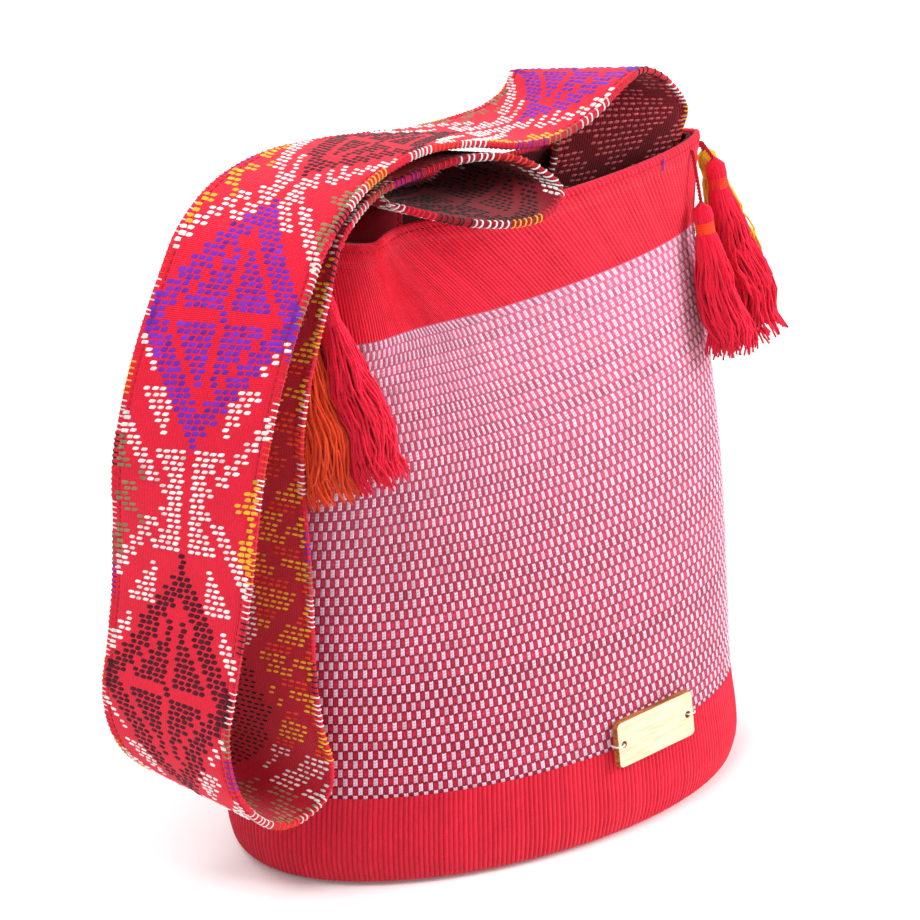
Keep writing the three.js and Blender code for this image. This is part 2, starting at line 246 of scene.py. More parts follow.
def tubes(
    paths: np.ndarray, radius: np.ndarray | float, sides: int, away: np.ndarray, tint: np.ndarray
) -> Patch:
    """Carries a round section along many paths, and closes both ends of each.

    Point (k, i, s) = path(k, i) + r (side cos a + front sin a), with a = 360 s / sides degrees,
    side = tangent x away and front = tangent x side.

    Args:
        paths: Array (count, stations, 3) in millimetres.
        radius: One radius, or an array (count, stations).
        sides: Even number of sides.
        away: Array (count, 3) of directions that lie across the paths.
        tint: Array that broadcasts to (count, stations, sides, 3).

    Returns:
        The patch.
    """
    tangent = unit(np.gradient(paths, axis=1))
    side = unit(np.cross(tangent, away[:, None, :]))
    front = np.cross(tangent, side)
    angle = 2 * np.pi * np.arange(sides) / sides
    size = np.broadcast_to(radius, paths.shape[:2])[:, :, None, None]
    around = side[:, :, None] * np.cos(angle)[:, None] + front[:, :, None] * np.sin(angle)[:, None]
    points = paths[:, :, None] + size * around
    steps = np.linalg.norm(np.diff(paths, axis=1), axis=-1)
    along = np.concatenate([np.zeros((len(paths), 1)), np.cumsum(steps, axis=1)], axis=1)
    weave = np.stack(
        [
            np.broadcast_to(along[:, :, None], points.shape[:-1]),
            np.broadcast_to(size[..., 0] * angle, points.shape[:-1]),
        ],
        -1,
    )
    patch = grid_patch(points, weave, tint, closed=True)
    stations = paths.shape[1]
    fan = np.array([[0, k, k + 1, k + 2] for k in range(1, sides - 1, 2)])
    firsts = (np.arange(len(paths)) * stations * sides)[:, None, None]
    lasts = firsts + (stations - 1) * sides
    ends = [(fan[:, ::-1][None] + firsts).reshape(-1, 4), (fan[None] + lasts).reshape(-1, 4)]
    patch.faces = np.concatenate([patch.faces] + ends)
    return patch


@dataclass(frozen=True)
class YarnFinish:
    """A cloth or yarn whose colour is each point's tint.

    Attributes:
        name: The material's name.
        thread_across: Pitch of the fine threads along the weave's first direction, in millimetres.
        thread_along: Pitch along its second direction.
        relief: Height of the fine threads in millimetres.
        uneven: How far the dye varies, 0 to 1.
        fuzz: Sheen of the loose fibres, 0 to 1.
        roughness: Roughness of the yarn.
        skew: How far the threads lean, in turns of the first direction for each of the second.
    """

    name: str
    thread_across: float
    thread_along: float
    relief: float = 0.12
    uneven: float = 0.16
    fuzz: float = 0.12
    roughness: float = 0.82
    skew: float = 0.0


@dataclass
class Bench:
    """Adds nodes to one tree and joins them.

    Attributes:
        tree: The node tree.
    """

    tree: bpy.types.NodeTree

    def fill(self, node: bpy.types.Node, inputs: dict) -> None:
        """Sets a node's inputs.

        Args:
            node: The node.
            inputs: A plain value, or the socket that feeds it, for each named or numbered input.
        """
        for key, value in inputs.items():
            if isinstance(value, bpy.types.NodeSocket):
                self.tree.links.new(value, node.inputs[key])
            else:
                node.inputs[key].default_value = value

    def add(self, kind: str, inputs: dict | None = None, **settings) -> bpy.types.Node:
        """Adds a node.

        Args:
            kind: Its type, without the first word that all types share.
            inputs: Its inputs, as in fill.
            settings: Its own settings.

        Returns:
            The node.
        """
        node = self.tree.nodes.new(f"ShaderNode{kind}")
        for name, value in settings.items():
            setattr(node, name, value)
        self.fill(node, inputs or {})
        return node

    def maths(self, operation: str, *values) -> bpy.types.NodeSocket:
        """Adds one math node and returns its output."""
        return self.add("Math", dict(enumerate(values)), operation=operation).outputs[0]

    def noise(self, place: bpy.types.NodeSocket, scale: float, detail: float = 2.0) -> bpy.types.NodeSocket:
        """Adds a noise that is read at a place and returns its value."""
        return self.add("TexNoise", {"Vector": place, "Scale": scale, "Detail": detail}).outputs[0]

    def ranged(self, value, low, high, start: float = 0.0, end: float = 1.0) -> bpy.types.NodeSocket:
        """Maps a value from start and end to low and high."""
        ends = {"Value": value, "From Min": start, "From Max": end, "To Min": low, "To Max": high}
        return self.add("MapRange", ends).outputs[0]

    def ramp(self, value: bpy.types.NodeSocket, stops: dict[float, np.ndarray]) -> bpy.types.NodeSocket:
        """Colours a value by two stops, each a place and its linear colour."""
        node = self.add("ValToRGB", {0: value})
        for element, (place, shade) in zip(node.color_ramp.elements, stops.items()):
            element.position, element.color = place, (*shade, 1)
        return node.outputs[0]

    def relief(self, height: bpy.types.NodeSocket, distance: float) -> bpy.types.NodeSocket:
        """Turns a height into a normal, with its full rise in metres."""
        return self.add("Bump", {"Distance": distance, "Height": height}).outputs[0]

    def seen(self) -> bpy.types.NodeSocket:
        """Adds the mask of the camera, glossy and transmission rays."""
        path = self.add("LightPath").outputs
        direct = self.maths("MAXIMUM", path["Is Camera Ray"], path["Is Glossy Ray"])
        return self.maths("MAXIMUM", direct, path["Is Transmission Ray"])


class Materials:
    """Builds the node groups once, and every material from them."""

    def __init__(self) -> None:
        """Makes the shared groups."""
        self.weave = self._weave_group()
        self.dye = self._dye_and_gap_shade_group()

    @staticmethod
    def _group(
        name: str, ins: dict[str, float | None], outs: dict[str, str]
    ) -> tuple[Bench, bpy.types.Node, bpy.types.Node]:
        """Starts a node group.

        Args:
            name: Its name.
            ins: Starting value of each input that is a number, None for a colour.
            outs: Float or Color for each output.

        Returns:
            A bench for the group, its input node and its output node.
        """
        group = bpy.data.node_groups.new(name, "ShaderNodeTree")
        for label, value in ins.items():
            kind = "Color" if value is None else "Float"
            socket = group.interface.new_socket(name=label, in_out="INPUT", socket_type=f"NodeSocket{kind}")
            if value is not None:
                socket.default_value = value
        for label, kind in outs.items():
            group.interface.new_socket(name=label, in_out="OUTPUT", socket_type=f"NodeSocket{kind}")
        return Bench(group), group.nodes.new("NodeGroupInput"), group.nodes.new("NodeGroupOutput")

    def _weave_group(self) -> bpy.types.NodeTree:
        """Makes the fine threads: height = |sin(pi u / across)|^0.6 x |sin(pi v / along)|^0.6.

        Returns:
            A group that puts out the height and a painted shade for the gaps between threads.
        """
        bench, ins, outs = self._group(
            "fine_threads", {"Across": 1.0, "Along": 1.0, "Skew": 0.0}, {"Height": "Float", "Gap": "Float"}
        )
        uv = bench.add("UVMap", uv_map=WEAVE_UV).outputs[0]
        apart = bench.add("SeparateXYZ", {0: uv}).outputs
        jitter = bench.maths("MULTIPLY", bench.maths("SUBTRACT", bench.noise(uv, 1.2, 1.0), 0.5), 0.05)
        leaning = bench.maths("MULTIPLY", apart[1], ins.outputs["Skew"])
        u = bench.maths("ADD", bench.maths("ADD", apart[0], leaning), jitter)
        threads = []
        for place, pitch in ((u, "Across"), (apart[1], "Along")):
            turns = bench.maths("DIVIDE", bench.maths("MULTIPLY", place, 10 * np.pi), ins.outputs[pitch])
            threads.append(bench.maths("POWER", bench.maths("ABSOLUTE", bench.maths("SINE", turns)), 0.6))
        height = bench.maths("MULTIPLY", *threads)
        bench.fill(outs, {"Height": height, "Gap": bench.maths("POWER", height, 0.35)})
        return bench.tree

    def _dye_and_gap_shade_group(self) -> bpy.types.NodeTree:
        """Makes a dye that is uneven from thread to thread and over larger patches, with painted shade in
        the gaps.

        Returns:
            A group that puts out a colour.
        """
        bench, ins, outs = self._group(
            "uneven_dye_and_gap_shade", {"Color": None, "Gap": 1.0, "Uneven": 0.2}, {"Color": "Color"}
        )
        place = bench.add("TexCoord").outputs["Object"]
        fine = bench.maths("MULTIPLY", bench.noise(place, 1400.0), 0.6)
        broad = bench.maths("MULTIPLY", bench.noise(place, 60.0), 0.4)
        low, high = (bench.maths(way, 1.0, ins.outputs["Uneven"]) for way in ("SUBTRACT", "ADD"))
        spread = bench.ranged(bench.maths("ADD", fine, broad), low, high, 0.3, 0.7)
        # Painted shade in the gaps between threads, down to 0.62 of the dye.
        shade = bench.ranged(ins.outputs["Gap"], 0.62, 1.0)
        strength = bench.maths("MULTIPLY", spread, shade)
        scaled = bench.add("VectorMath", {0: ins.outputs["Color"], "Scale": strength}, operation="SCALE")
        bench.fill(outs, {"Color": scaled.outputs[0]})
        return bench.tree

    @staticmethod
    def _start(name: str) -> tuple[bpy.types.Material, Bench, bpy.types.Node]:
        """Starts a material, and returns it with a bench and its shader."""
        material = bpy.data.materials.new(name)
        material.use_nodes = True
        return material, Bench(material.node_tree), material.node_tree.nodes["Principled BSDF"]

    def yarn(self, finish: YarnFinish) -> bpy.types.Material:
        """Makes a cloth or yarn material.

        Args:
            finish: Its values.

        Returns:
            The material.
        """
        material, bench, shader = self._start(finish.name)
        tint = bench.add("Attribute", attribute_name=TINT).outputs["Color"]
        pitches = {"Across": finish.thread_across, "Along": finish.thread_along, "Skew": finish.skew}
        threads = bench.add("Group", pitches, node_tree=self.weave).outputs
        height = threads["Height"]
        mixed = {"Color": tint, "Gap": threads["Gap"], "Uneven": finish.uneven}
        inputs = {
            "Sheen Weight": finish.fuzz,
            "Sheen Roughness": 0.5,
            "Specular IOR Level": 0.18,
            "Base Color": bench.add("Group", mixed, node_tree=self.dye).outputs["Color"],
            "Roughness": bench.ranged(height, min(1.0, finish.roughness + 0.15), finish.roughness),
            "Normal": bench.relief(height, finish.relief * METRES),
        }
        bench.fill(shader, inputs)
        return material

    def thread(self, name: str, shade: np.ndarray) -> bpy.types.Material:
        """Makes a plain sewing thread.

        Args:
            name: The material's name.
            shade: Its linear colour.

        Returns:
            The material.
        """
        material, bench, shader = self._start(name)
        fibre = bench.noise(bench.add("TexCoord").outputs["Object"], 2600.0)
        inputs = {
            "Sheen Weight": 0.2,
            "Base Color": bench.ramp(fibre, {0.3: shade * 0.6, 0.6: shade}),
            "Roughness": bench.ranged(fibre, 0.9, 0.7),
            "Normal": bench.relief(fibre, 0.0001),
        }
        bench.fill(shader, inputs)
        return material

    def wood(self, name: str, pale: tuple, dark: tuple, scale: float = 900.0) -> bpy.types.Material:
        """Makes bare wood with fine grain along x.

        Args:
            name: The material's name.
            pale: Colour between the grain lines, as it looks on a screen.
            dark: Colour of the grain lines, in the same way.
            scale: How fine the grain is.

        Returns:
            The material.
        """
        material, bench, shader = self._start(name)
        place = bench.add("TexCoord").outputs["Object"]
        stretch = {"Vector": place, "Scale": (scale * 0.06, scale * 0.5, scale)}
        grain = bench.noise(bench.add("Mapping", stretch).outputs[0], 1.0, 5.0)
        inputs = {
            "Specular IOR Level": 0.3,
            "Base Color": bench.ramp(grain, {0.35: from_screen(*dark), 0.62: from_screen(*pale)}),
            "Roughness": bench.ranged(grain, 0.6, 0.45),
            "Normal": bench.relief(grain, 0.00008),
        }
        bench.fill(shader, inputs)
        return material


def smooth_through(positions: np.ndarray, values: np.ndarray, at: np.ndarray) -> np.ndarray:
    """Reads a smooth curve through points: cubic pieces whose slopes come from the neighbours.

    Args:
        positions: Rising positions of the points.
        values: Value at each.
        at: Where to read the curve.

    Returns:
        The values there.
    """
    before, after = np.r_[0, np.arange(len(values) - 1)], np.r_[np.arange(1, len(values)), len(values) - 1]
    slope = (values[after] - values[before]) / (positions[after] - positions[before])
    i = np.searchsorted(positions[1:-1], at, side="left")
    gap = positions[i + 1] - positions[i]
    t = (at - positions[i]) / gap
    t2, t3 = t * t, t * t * t
    return (
        (2 * t3 - 3 * t2 + 1) * values[i]
        + (t3 - 2 * t2 + t) * gap * slope[i]
        + (3 * t2 - 2 * t3) * values[i + 1]
        + (t3 - t2) * gap * slope[i + 1]
    )


def bump(value: np.ndarray, middle: float, spread: float) -> np.ndarray:
    """A bell: e to the minus ((value - middle) / spread) squared."""
    return np.exp(-(((value - middle) / spread) ** 2))


@dataclass
class Wall:
    """The bag's wall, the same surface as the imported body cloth's.

    Attributes:
        height: Height of the rim.
        tip_drop: How far the two ends of the rim lie lower.
        tip_inset: How much faster the ends close in than the middle.
        shares: Heights of the levels, as shares of the height.
        levels: Half length, depth to the front and back, shift x and y, turn and pinch of each.
        fold: Angle, spread, how far it stands proud and its reach.
        hollow: Angle, spread and depth of the dip beside the fold.
    """

    height: float = 288.0
    tip_drop: float = 2.0
    tip_inset: float = 1.6
    shares: tuple = (0, 0.05, 0.15, 0.5, 0.78, 0.85, 1)
    levels: tuple = (
        (119, 66, 66, 1, -2, -7, 0.92),
        (122, 68, 68, 1, -2, -7, 0.92),
        (121, 66, 66, 0, -1, -6, 0.95),
        (120, 50, 54, 0, -3, -1, 1),
        (115, 31, 36, 1, -5, 4, 1.12),
        (112, 27, 31, 2, -6, 5, 1.15),
        (110, 28, 24, 0, -7, 2, 1.35),
    )
    fold: tuple = (222, 9, 9, 0.14)
    hollow: tuple = (240, 11, 5)
    angles: np.ndarray = field(init=False)
    laps: np.ndarray = field(init=False)
    girths: np.ndarray = field(init=False)

    def __post_init__(self) -> None:
        """Tables the angle at which each share of the way round lies, level by level."""
        self._at = np.array(self.shares, float)
        self._level = np.array(self.levels, float).T
        heights = np.linspace(0, self.height, 73)
        angle = np.linspace(0, 360, 1441)
        ring = self.shell(angle[None, :], heights[:, None])
        steps = np.linalg.norm(np.diff(ring, axis=1), axis=-1)
        run = np.concatenate([np.zeros((len(heights), 1)), np.cumsum(steps, axis=1)], axis=1)
        self.laps = np.linspace(0, 1, 1201)
        self.girths = run[:, -1]
        self.angles = np.stack([np.interp(self.laps * row[-1], row, angle) for row in run])

    def shell(self, angle: np.ndarray, height: np.ndarray, inset: float = 0.0) -> np.ndarray:
        """Finds points of the wall.

        x = (half - 1.6 inset) cos a and y = depth |sin a|^pinch - fold, turned and shifted by level.

        Args:
            angle: Degrees round the section from the right end.
            height: Height over the underside.
            inset: Distance inwards.

        Returns:
            Array (..., 3) in millimetres.
        """
        angle, height = np.broadcast_arrays(np.asarray(angle, float), np.asarray(height, float))
        share = np.clip(height / self.height, 0, 1)
        half, front, back, shift_x, shift_y, turn, pinch = (
            smooth_through(self._at, row, share) for row in self._level
        )
        radians = np.radians(angle)
        along, across = np.cos(radians), np.sin(radians)
        around = np.mod(angle, 360)
        top = bump(share, 1, self.fold[3])
        fold = self.fold[2] * bump(around, *self.fold[:2]) * top
        fold = fold - self.hollow[2] * bump(around, *self.hollow[:2]) * top
        depth = np.where(across < 0, front, back) - inset
        x = (half - inset * self.tip_inset) * along
        y = depth * np.sign(across) * np.abs(across) ** pinch - fold
        spin = np.radians(turn)
        return np.stack(
            [
                x * np.cos(spin) - y * np.sin(spin) + shift_x,
                x * np.sin(spin) + y * np.cos(spin) + shift_y,
                height - self.tip_drop * np.abs(along) ** 3 * share**6,
            ],
            -1,
        )

    def angle_of(self, lap: np.ndarray, height: np.ndarray) -> np.ndarray:
        """Reads the angle of a share of the way round, between the tabled levels.

        Args:
            lap: Share of the way round, from the right end, counter-clockwise from above.
            height: Height over the underside.

        Returns:
            Degrees.
        """
        level = np.clip(height / self.height, 0, 1) * (len(self.angles) - 1)
        low = np.minimum(level.astype(int), len(self.angles) - 2)
        place = np.mod(lap, 1) * (len(self.laps) - 1)
        left = np.minimum(place.astype(int), len(self.laps) - 2)
        rise, step = level - low, place - left
        lower = self.angles[low, left] * (1 - step) + self.angles[low, left + 1] * step
        upper = self.angles[low + 1, left] * (1 - step) + self.angles[low + 1, left + 1] * step
        return lower * (1 - rise) + upper * rise

    def girth(self, height: np.ndarray) -> np.ndarray:
        """The way round at a height."""
        return np.interp(height, np.linspace(0, self.height, len(self.girths)), self.girths)

    def frame_at(self, lap: np.ndarray, height: np.ndarray) -> tuple[np.ndarray, np.ndarray]:
        """Finds points of the wall and the way out of it.

        Args:
            lap: Share of the way round.
            height: Height over the underside.

        Returns:
            The points and the unit normals.
        """
        lap, height = np.broadcast_arrays(np.asarray(lap, float), np.asarray(height, float))
        angle = self.angle_of(lap, height)
        held = np.clip(height, 0.6, self.height - 0.6)
        rounds = self.shell(angle + 0.6, held) - self.shell(angle - 0.6, held)
        ups = self.shell(angle, held + 0.5) - self.shell(angle, held - 0.5)
        return self.shell(angle, height), unit(np.cross(rounds, ups))

    def place(self, lap: np.ndarray, height: np.ndarray, out: np.ndarray | float) -> np.ndarray:
        """Finds points that stand a distance out of the wall."""
        points, normals = self.frame_at(lap, height)
        return points + normals * np.asarray(out, float)[..., None]


@dataclass
class BagCloth:
    """The woven tube: two ribbed bands, the checker panel between them, and the turned hem.

    Attributes:
        ribs: Ribs all the way round.
        lower_band: Height of the lower band.
        upper_band: Height of the upper band.
        hem: Depth of the turned hem.
        row_pitch: Height of one checker row.
        thickness: Thickness of the wall at the rim.
        foot_round: Radius where the band turns under.
        foot_row: Height of the short row of pale cells at the foot of the panel.
        lean: Share of the way round where the cloth leans most, its spread before and after that, and the
            least share.
        drift: Heights, and how far the cloth has moved to the left at each.
        right_end: Share of the way round where painted light is most and painted shade least.
        rib_section: Height of each column of a rib.
        rib_painted_shade: Painted shade of each column of a rib: darkest in the groove, lightest on the
            crown.
        spreads: How far the sizes of ribs, the shades of ribs and the shades of checker rows vary.
    """

    wall: Wall
    ribs: int = 284
    lower_band: float = 43.0
    upper_band: float = 43.0
    hem: float = 8.0
    row_pitch: float = 4.2
    thickness: float = 2.6
    foot_round: float = 4.0
    foot_row: float = 1.6
    lean: tuple[float, float, float, float] = (0.81, 0.14, 0.24, 0.2)
    drift: tuple = ((0, 43, 120, 190, 240, 288), (0, 0, 11, 26, 52, 92))
    right_end: float = 0.97
    rib_section: tuple = (-0.4, 0.03, 0.16, 0.03)
    rib_painted_shade: tuple = (0.8, 1.0, 1.06, 1.0)
    spreads: tuple[float, float, float] = (0.18, 0.05, 0.12)

    def __post_init__(self) -> None:
        """Draws the chances of this cloth once."""
        chance = np.random.default_rng(SEED)
        self.rib_size = 1 + self.spreads[0] * chance.standard_normal(self.ribs)
        self.rib_shade = 1 + self.spreads[1] * chance.standard_normal(self.ribs)
        self.panel_top = self.wall.height - self.upper_band
        self.rows = int(round((self.panel_top - self.lower_band) / self.row_pitch))
        self.row_shade = 1 + self.spreads[2] * chance.standard_normal(self.rows + 1)
        self.chance = chance

    def _leaning(self, lap: np.ndarray, height: np.ndarray) -> np.ndarray:
        """Leans the threads as the pulled cloth does: the higher up, the further to the left.

        Args:
            lap: Share of the way round at the foot.
            height: Height over the underside.

        Returns:
            Share of the way round at that height.
        """
        middle, before, after, least = self.lean
        away = np.mod(lap - middle + 0.5, 1) - 0.5
        pull = least + (1 - least) * np.where(away < 0, bump(away, 0, before), bump(away, 0, after))
        return lap - pull * np.interp(height, *self.drift) / self.wall.girth(height)

    def _place(self, lap: np.ndarray, height: np.ndarray, out: np.ndarray) -> np.ndarray:
        """Finds points of the leaning cloth."""
        return self.wall.place(self._leaning(lap, height), height, out)

    def _near_right(self, lap: np.ndarray) -> np.ndarray:
        """Rises from 0 at the left end to 1 at the right end."""
        return 0.5 + 0.5 * np.cos(2 * np.pi * (lap - self.right_end))

    def _columns(self) -> tuple[np.ndarray, np.ndarray, np.ndarray]:
        """Finds the columns of a ribbed grid: a groove and a crown for each rib.

        Returns:
            Share of the way round, height of the rib and shade of each column, painted shade included.
        """
        step = len(self.rib_section)
        number = np.arange(self.ribs * step)
        rib = number // step
        section = np.array(self.rib_section)[number % step]
        # Random tone of each rib times painted shade in its groove and painted light on its crown.
        shade = self.rib_shade[rib] * np.array(self.rib_painted_shade)[number % step]
        return number / (self.ribs * step), section * self.rib_size[rib], shade

    def _band(self, heights: np.ndarray, outs: np.ndarray, dye: Dye) -> Patch:
        """Makes a ribbed band.

        The lower one has the strap's shadow painted on: 0.7 of the dye at its left end, full at its right
        end.

        Args:
            heights: Height of each row.
            outs: How far each row stands out of the wall.
            dye: Its colour.

        Returns:
            The patch.
        """
        lap, section, shade = self._columns()
        points = self._place(lap[None, :], heights[:, None], section[None, :] + outs[:, None])
        weave = np.stack(np.broadcast_arrays(lap[None] * self.ribs, heights[:, None]), -1)
        wander = 1 + 0.05 * self.chance.standard_normal(points.shape[:2])
        # Painted shade: the strap's shadow on the lower band, darkest at its left end.
        painted_shade = 1.0
        if heights[0] < self.lower_band:
            painted_shade = 0.7 + 0.3 * self._near_right(lap)[None]
        tint = dye.linear * (shade[None] * wander * painted_shade)[..., None]
        return grid_patch(points, weave, tint, closed=True)

    def lower(self) -> Patch:
        """Makes the lower band, turned under at the foot.

        Returns:
            The patch.
        """
        turn = np.radians(np.linspace(90, 0, 6))
        foot = self.foot_round * (1 - np.sin(turn))
        under = -self.foot_round * (1 - np.cos(turn))
        rise = np.linspace(self.foot_round, self.lower_band, 12)[1:]
        return self._band(np.r_[foot, rise] + 0.2, np.r_[under, rise * 0], Dye.RED)

    def upper(self) -> Patch:
        """Makes the upper band with its hem, over the rim and down to the facing.

        Returns:
            The patch.
        """
        roll, proud, half = self.wall.height - 1.2, 0.42, self.thickness / 2
        rise = np.linspace(self.panel_top, self.wall.height - self.hem, 11)
        hem = np.linspace(self.wall.height - self.hem + 0.25, roll, 5)
        over = np.radians(np.linspace(0, 180, 7))[1:]
        heights = np.r_[rise, hem, roll + half * 0.9 * np.sin(over)]
        outs = np.r_[rise * 0, hem * 0 + proud, proud - half * (1 - np.cos(over))]
        return self._band(heights, outs, Dye.RED)

    def ground(self) -> Patch:
        """Makes the cloth under the checker cells.

        Returns:
            The patch.
        """
        lap = np.arange(self.ribs * 2) / (self.ribs * 2)
        heights = np.linspace(self.lower_band - 0.4, self.panel_top + 0.4, 34)
        out = np.where(np.arange(self.ribs * 2) % 2 == 0, -0.45, -0.15)
        points = self._place(lap[None], heights[:, None], out[None] + 0 * heights[:, None])
        weave = np.stack(np.broadcast_arrays(lap[None] * self.ribs, heights[:, None]), -1)
        # Painted light pales the ground's deep dye towards the top and the right end.
        return grid_patch(points, weave, self._painted_light_tint(Dye.GROUND, lap[None], heights[:, None]), closed=True)

    def _painted_light_share(self, lap: np.ndarray, height: np.ndarray) -> np.ndarray:
        """Finds the share of painted light on the panel's colours: most at the top and the right end.

        It is 0.7 h^2 + 0.3 r^2, with h from 0 to 1 up the panel and r from 0 to 1 towards the right end.

        Args:
            lap: Share of the way round.
            height: Height over the underside.

        Returns:
            A share from 0 to 1.
        """
        rise = np.clip((height - self.lower_band) / (self.panel_top - self.lower_band), 0, 1)
        return 0.7 * rise**2 + 0.3 * self._near_right(lap) ** 2

    def _painted_light_tint(self, deep: Dye, lap: np.ndarray, height: np.ndarray) -> np.ndarray:
        """Mixes a deep dye of the panel with a pink painted light, which takes over at the top and the right
        end.

        Args:
            deep: The deep dye.
            lap: Share of the way round.
            height: Height over the underside.

        Returns:
            Array (..., 3) of linear colours.
        """
        share = 0.75 * self._painted_light_share(lap, height)[..., None]
        return deep.linear + (Dye.PAINTED_LIGHT_PINK.linear - deep.linear) * share

    def cells(self, pale: bool, columns: int, rows: int, proud: float) -> Patch:
        """Makes the cells of one colour: each is a pillow over one rib and one checker row.

        A cell's height is proud (1 - u^2)^0.6 (1 - v^8) less a dip between its three picks.

        Args:
            pale: Whether these are the pale cells.
            columns: Grid points across a cell.
            rows: Grid points up a cell.
            proud: How far its middle stands out.

        Returns:
            The patch.
        """
        rib, row = np.meshgrid(np.arange(self.ribs), np.arange(-1, self.rows), indexing="xy")
        chosen = ((rib + row) % 2 == 0) == pale
        chosen &= (row >= 0) | pale
        rib, row = rib[chosen], row[chosen]
        pitch = (self.panel_top - self.lower_band - self.foot_row) / self.rows
        bottom = self.lower_band + self.foot_row + row * pitch
        bottom = np.where(row < 0, self.lower_band, bottom)
        tall = np.where(row < 0, self.foot_row, pitch - 0.25)
        across = np.linspace(-1, 1, columns)[None, None, :]
        up = np.linspace(-1, 1, rows)[None, :, None]
        # The share of painted light at each cell, which also sets how wide the cell is.
        lit_share = self._painted_light_share(rib / self.ribs, bottom)
        broad = (0.42 + 0.13 * lit_share if pale else 0.44 - 0.04 * lit_share)[:, None, None]
        lap = (rib[:, None, None] + 0.5 + broad * across) / self.ribs + 0 * up
        height = (bottom + tall / 2)[:, None, None] + (tall / 2)[:, None, None] * up * 0.97 + 0 * across
        picks = 0.14 * np.abs(np.cos(1.5 * np.pi * (up + 1 / 3))) if rows > 4 else 0 * up
        size = 1 + 0.12 * self.chance.standard_normal(len(rib))[:, None, None]
        dome = (1 - 0.9 * across**2) ** 0.6 * (1 - up**8)
        out = -0.3 + size * proud * dome - picks * (1 - across**2)
        points = self._place(lap, height, out)
        # The red cells take painted light towards the top and the right end; the pale cells keep their dye.
        base = Dye.PALE.linear if pale else self._painted_light_tint(Dye.CRIMSON, lap, height)
        shade = 1 + 0 * row if pale else self.row_shade[np.clip(row, 0, self.rows)]
        shade = shade * (1 + 0.07 * self.chance.standard_normal(len(rib)))
        # Painted shade: each cell darkens towards its sides, in the dips between its picks and along its top
        # and bottom rows.
        edge = 1 - 0.2 * np.abs(across) ** 3 - 3.6 * picks * (1 - across**2) * (np.abs(up) < 0.9)
        edge = edge - 0.25 * (np.abs(up) > 0.9)
        tint = base * np.clip(shade[:, None, None] * edge, 0, 1.15)[..., None]
        weave = np.stack(np.broadcast_arrays(lap * self.ribs, height), -1)
        return grid_patch(points, weave, tint)

    def stitches(self, below: float, pitch: float, long: float) -> Patch:
        """Makes one row of stitches round the hem.

        Args:
            below: How far under the rim it runs.
            pitch: Distance from stitch to stitch.
            long: Length of a stitch.

        Returns:
            The patch.
        """
        height = self.wall.height - below
        girth = float(self.wall.girth(np.array(height)))
        count = int(girth / pitch)
        start = np.arange(count)[:, None] / count
        lap = start + np.linspace(0, long, 5)[None] / girth
        sink = np.array([0.1, 0.62, 0.72, 0.62, 0.1])[None] + 0 * lap
        points, normals = self.wall.frame_at(lap, height + 0 * lap)
        return tubes(points + normals * sink[..., None], 0.24, 4, normals[:, 2], Dye.DEEP_RED.linear)

    def base(self) -> Patch:
        """Makes the flat underside, woven as the bands are.

        Returns:
            The patch.
        """
        share = np.linspace(0.02, 1, 14)[:, None]
        columns = 144
        angle = np.linspace(0, 360, columns + 1)[None, :-1]
        edge = self.wall.shell(angle, 0 * angle, self.foot_round * 0.75)
        middle = edge.mean(axis=(0, 1))
        points = middle + (edge - middle) * share[..., None]
        points[..., 2] = 0.25 - 0.2 * np.sin(np.pi * share)
        patch = grid_patch(points, points[..., :2], Dye.RED.linear * 0.9, closed=True, flip=True)
        inner = np.arange(0, columns, 2)
        centre = np.full(len(inner), points[..., 0].size)
        middle_faces = np.stack([inner, (inner + 1) % columns, (inner + 2) % columns, centre], -1)
        patch.points = np.vstack([patch.points, [middle[0], middle[1], 0.2]])
        patch.weave = np.vstack([patch.weave, middle[:2]])
        patch.tint = np.vstack([patch.tint, Dye.RED.linear * 0.9])
        patch.faces = np.vstack([patch.faces, middle_faces[:, ::-1]])
        return patch

    def build(self, materials: Materials) -> None:
        """Makes and dresses the cloth.

        Args:
            materials: Where the materials come from.
        """
        ribbed = materials.yarn(YarnFinish("ribbed_cotton", 1.0, 0.9, relief=0.22, uneven=0.12))
        cell = materials.yarn(YarnFinish("checker_yarn", 0.5, 1.5, relief=0.08, uneven=0.1, roughness=0.75))
        flat = materials.yarn(YarnFinish("panel_ground", 0.5, 0.8, relief=0.1))
        lower = make_piece("lower_band", self.lower(), ribbed, "bag")
        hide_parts("body_cloth")
        make_piece("upper_band", self.upper(), ribbed, "bag")
        make_piece("panel_ground", self.ground(), flat, "bag")
        make_piece("panel_pale_cells", self.cells(True, 3, 7, 0.62), cell, "bag")
        make_piece("panel_red_cells", self.cells(False, 3, 3, 0.42), cell, "bag")
        make_piece("hem_stitches", self.stitches(3.2, 2.5, 1.7), cell, "bag")
        base = make_piece("base_cloth", self.base(), ribbed, "bag")
        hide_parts("base_panel")


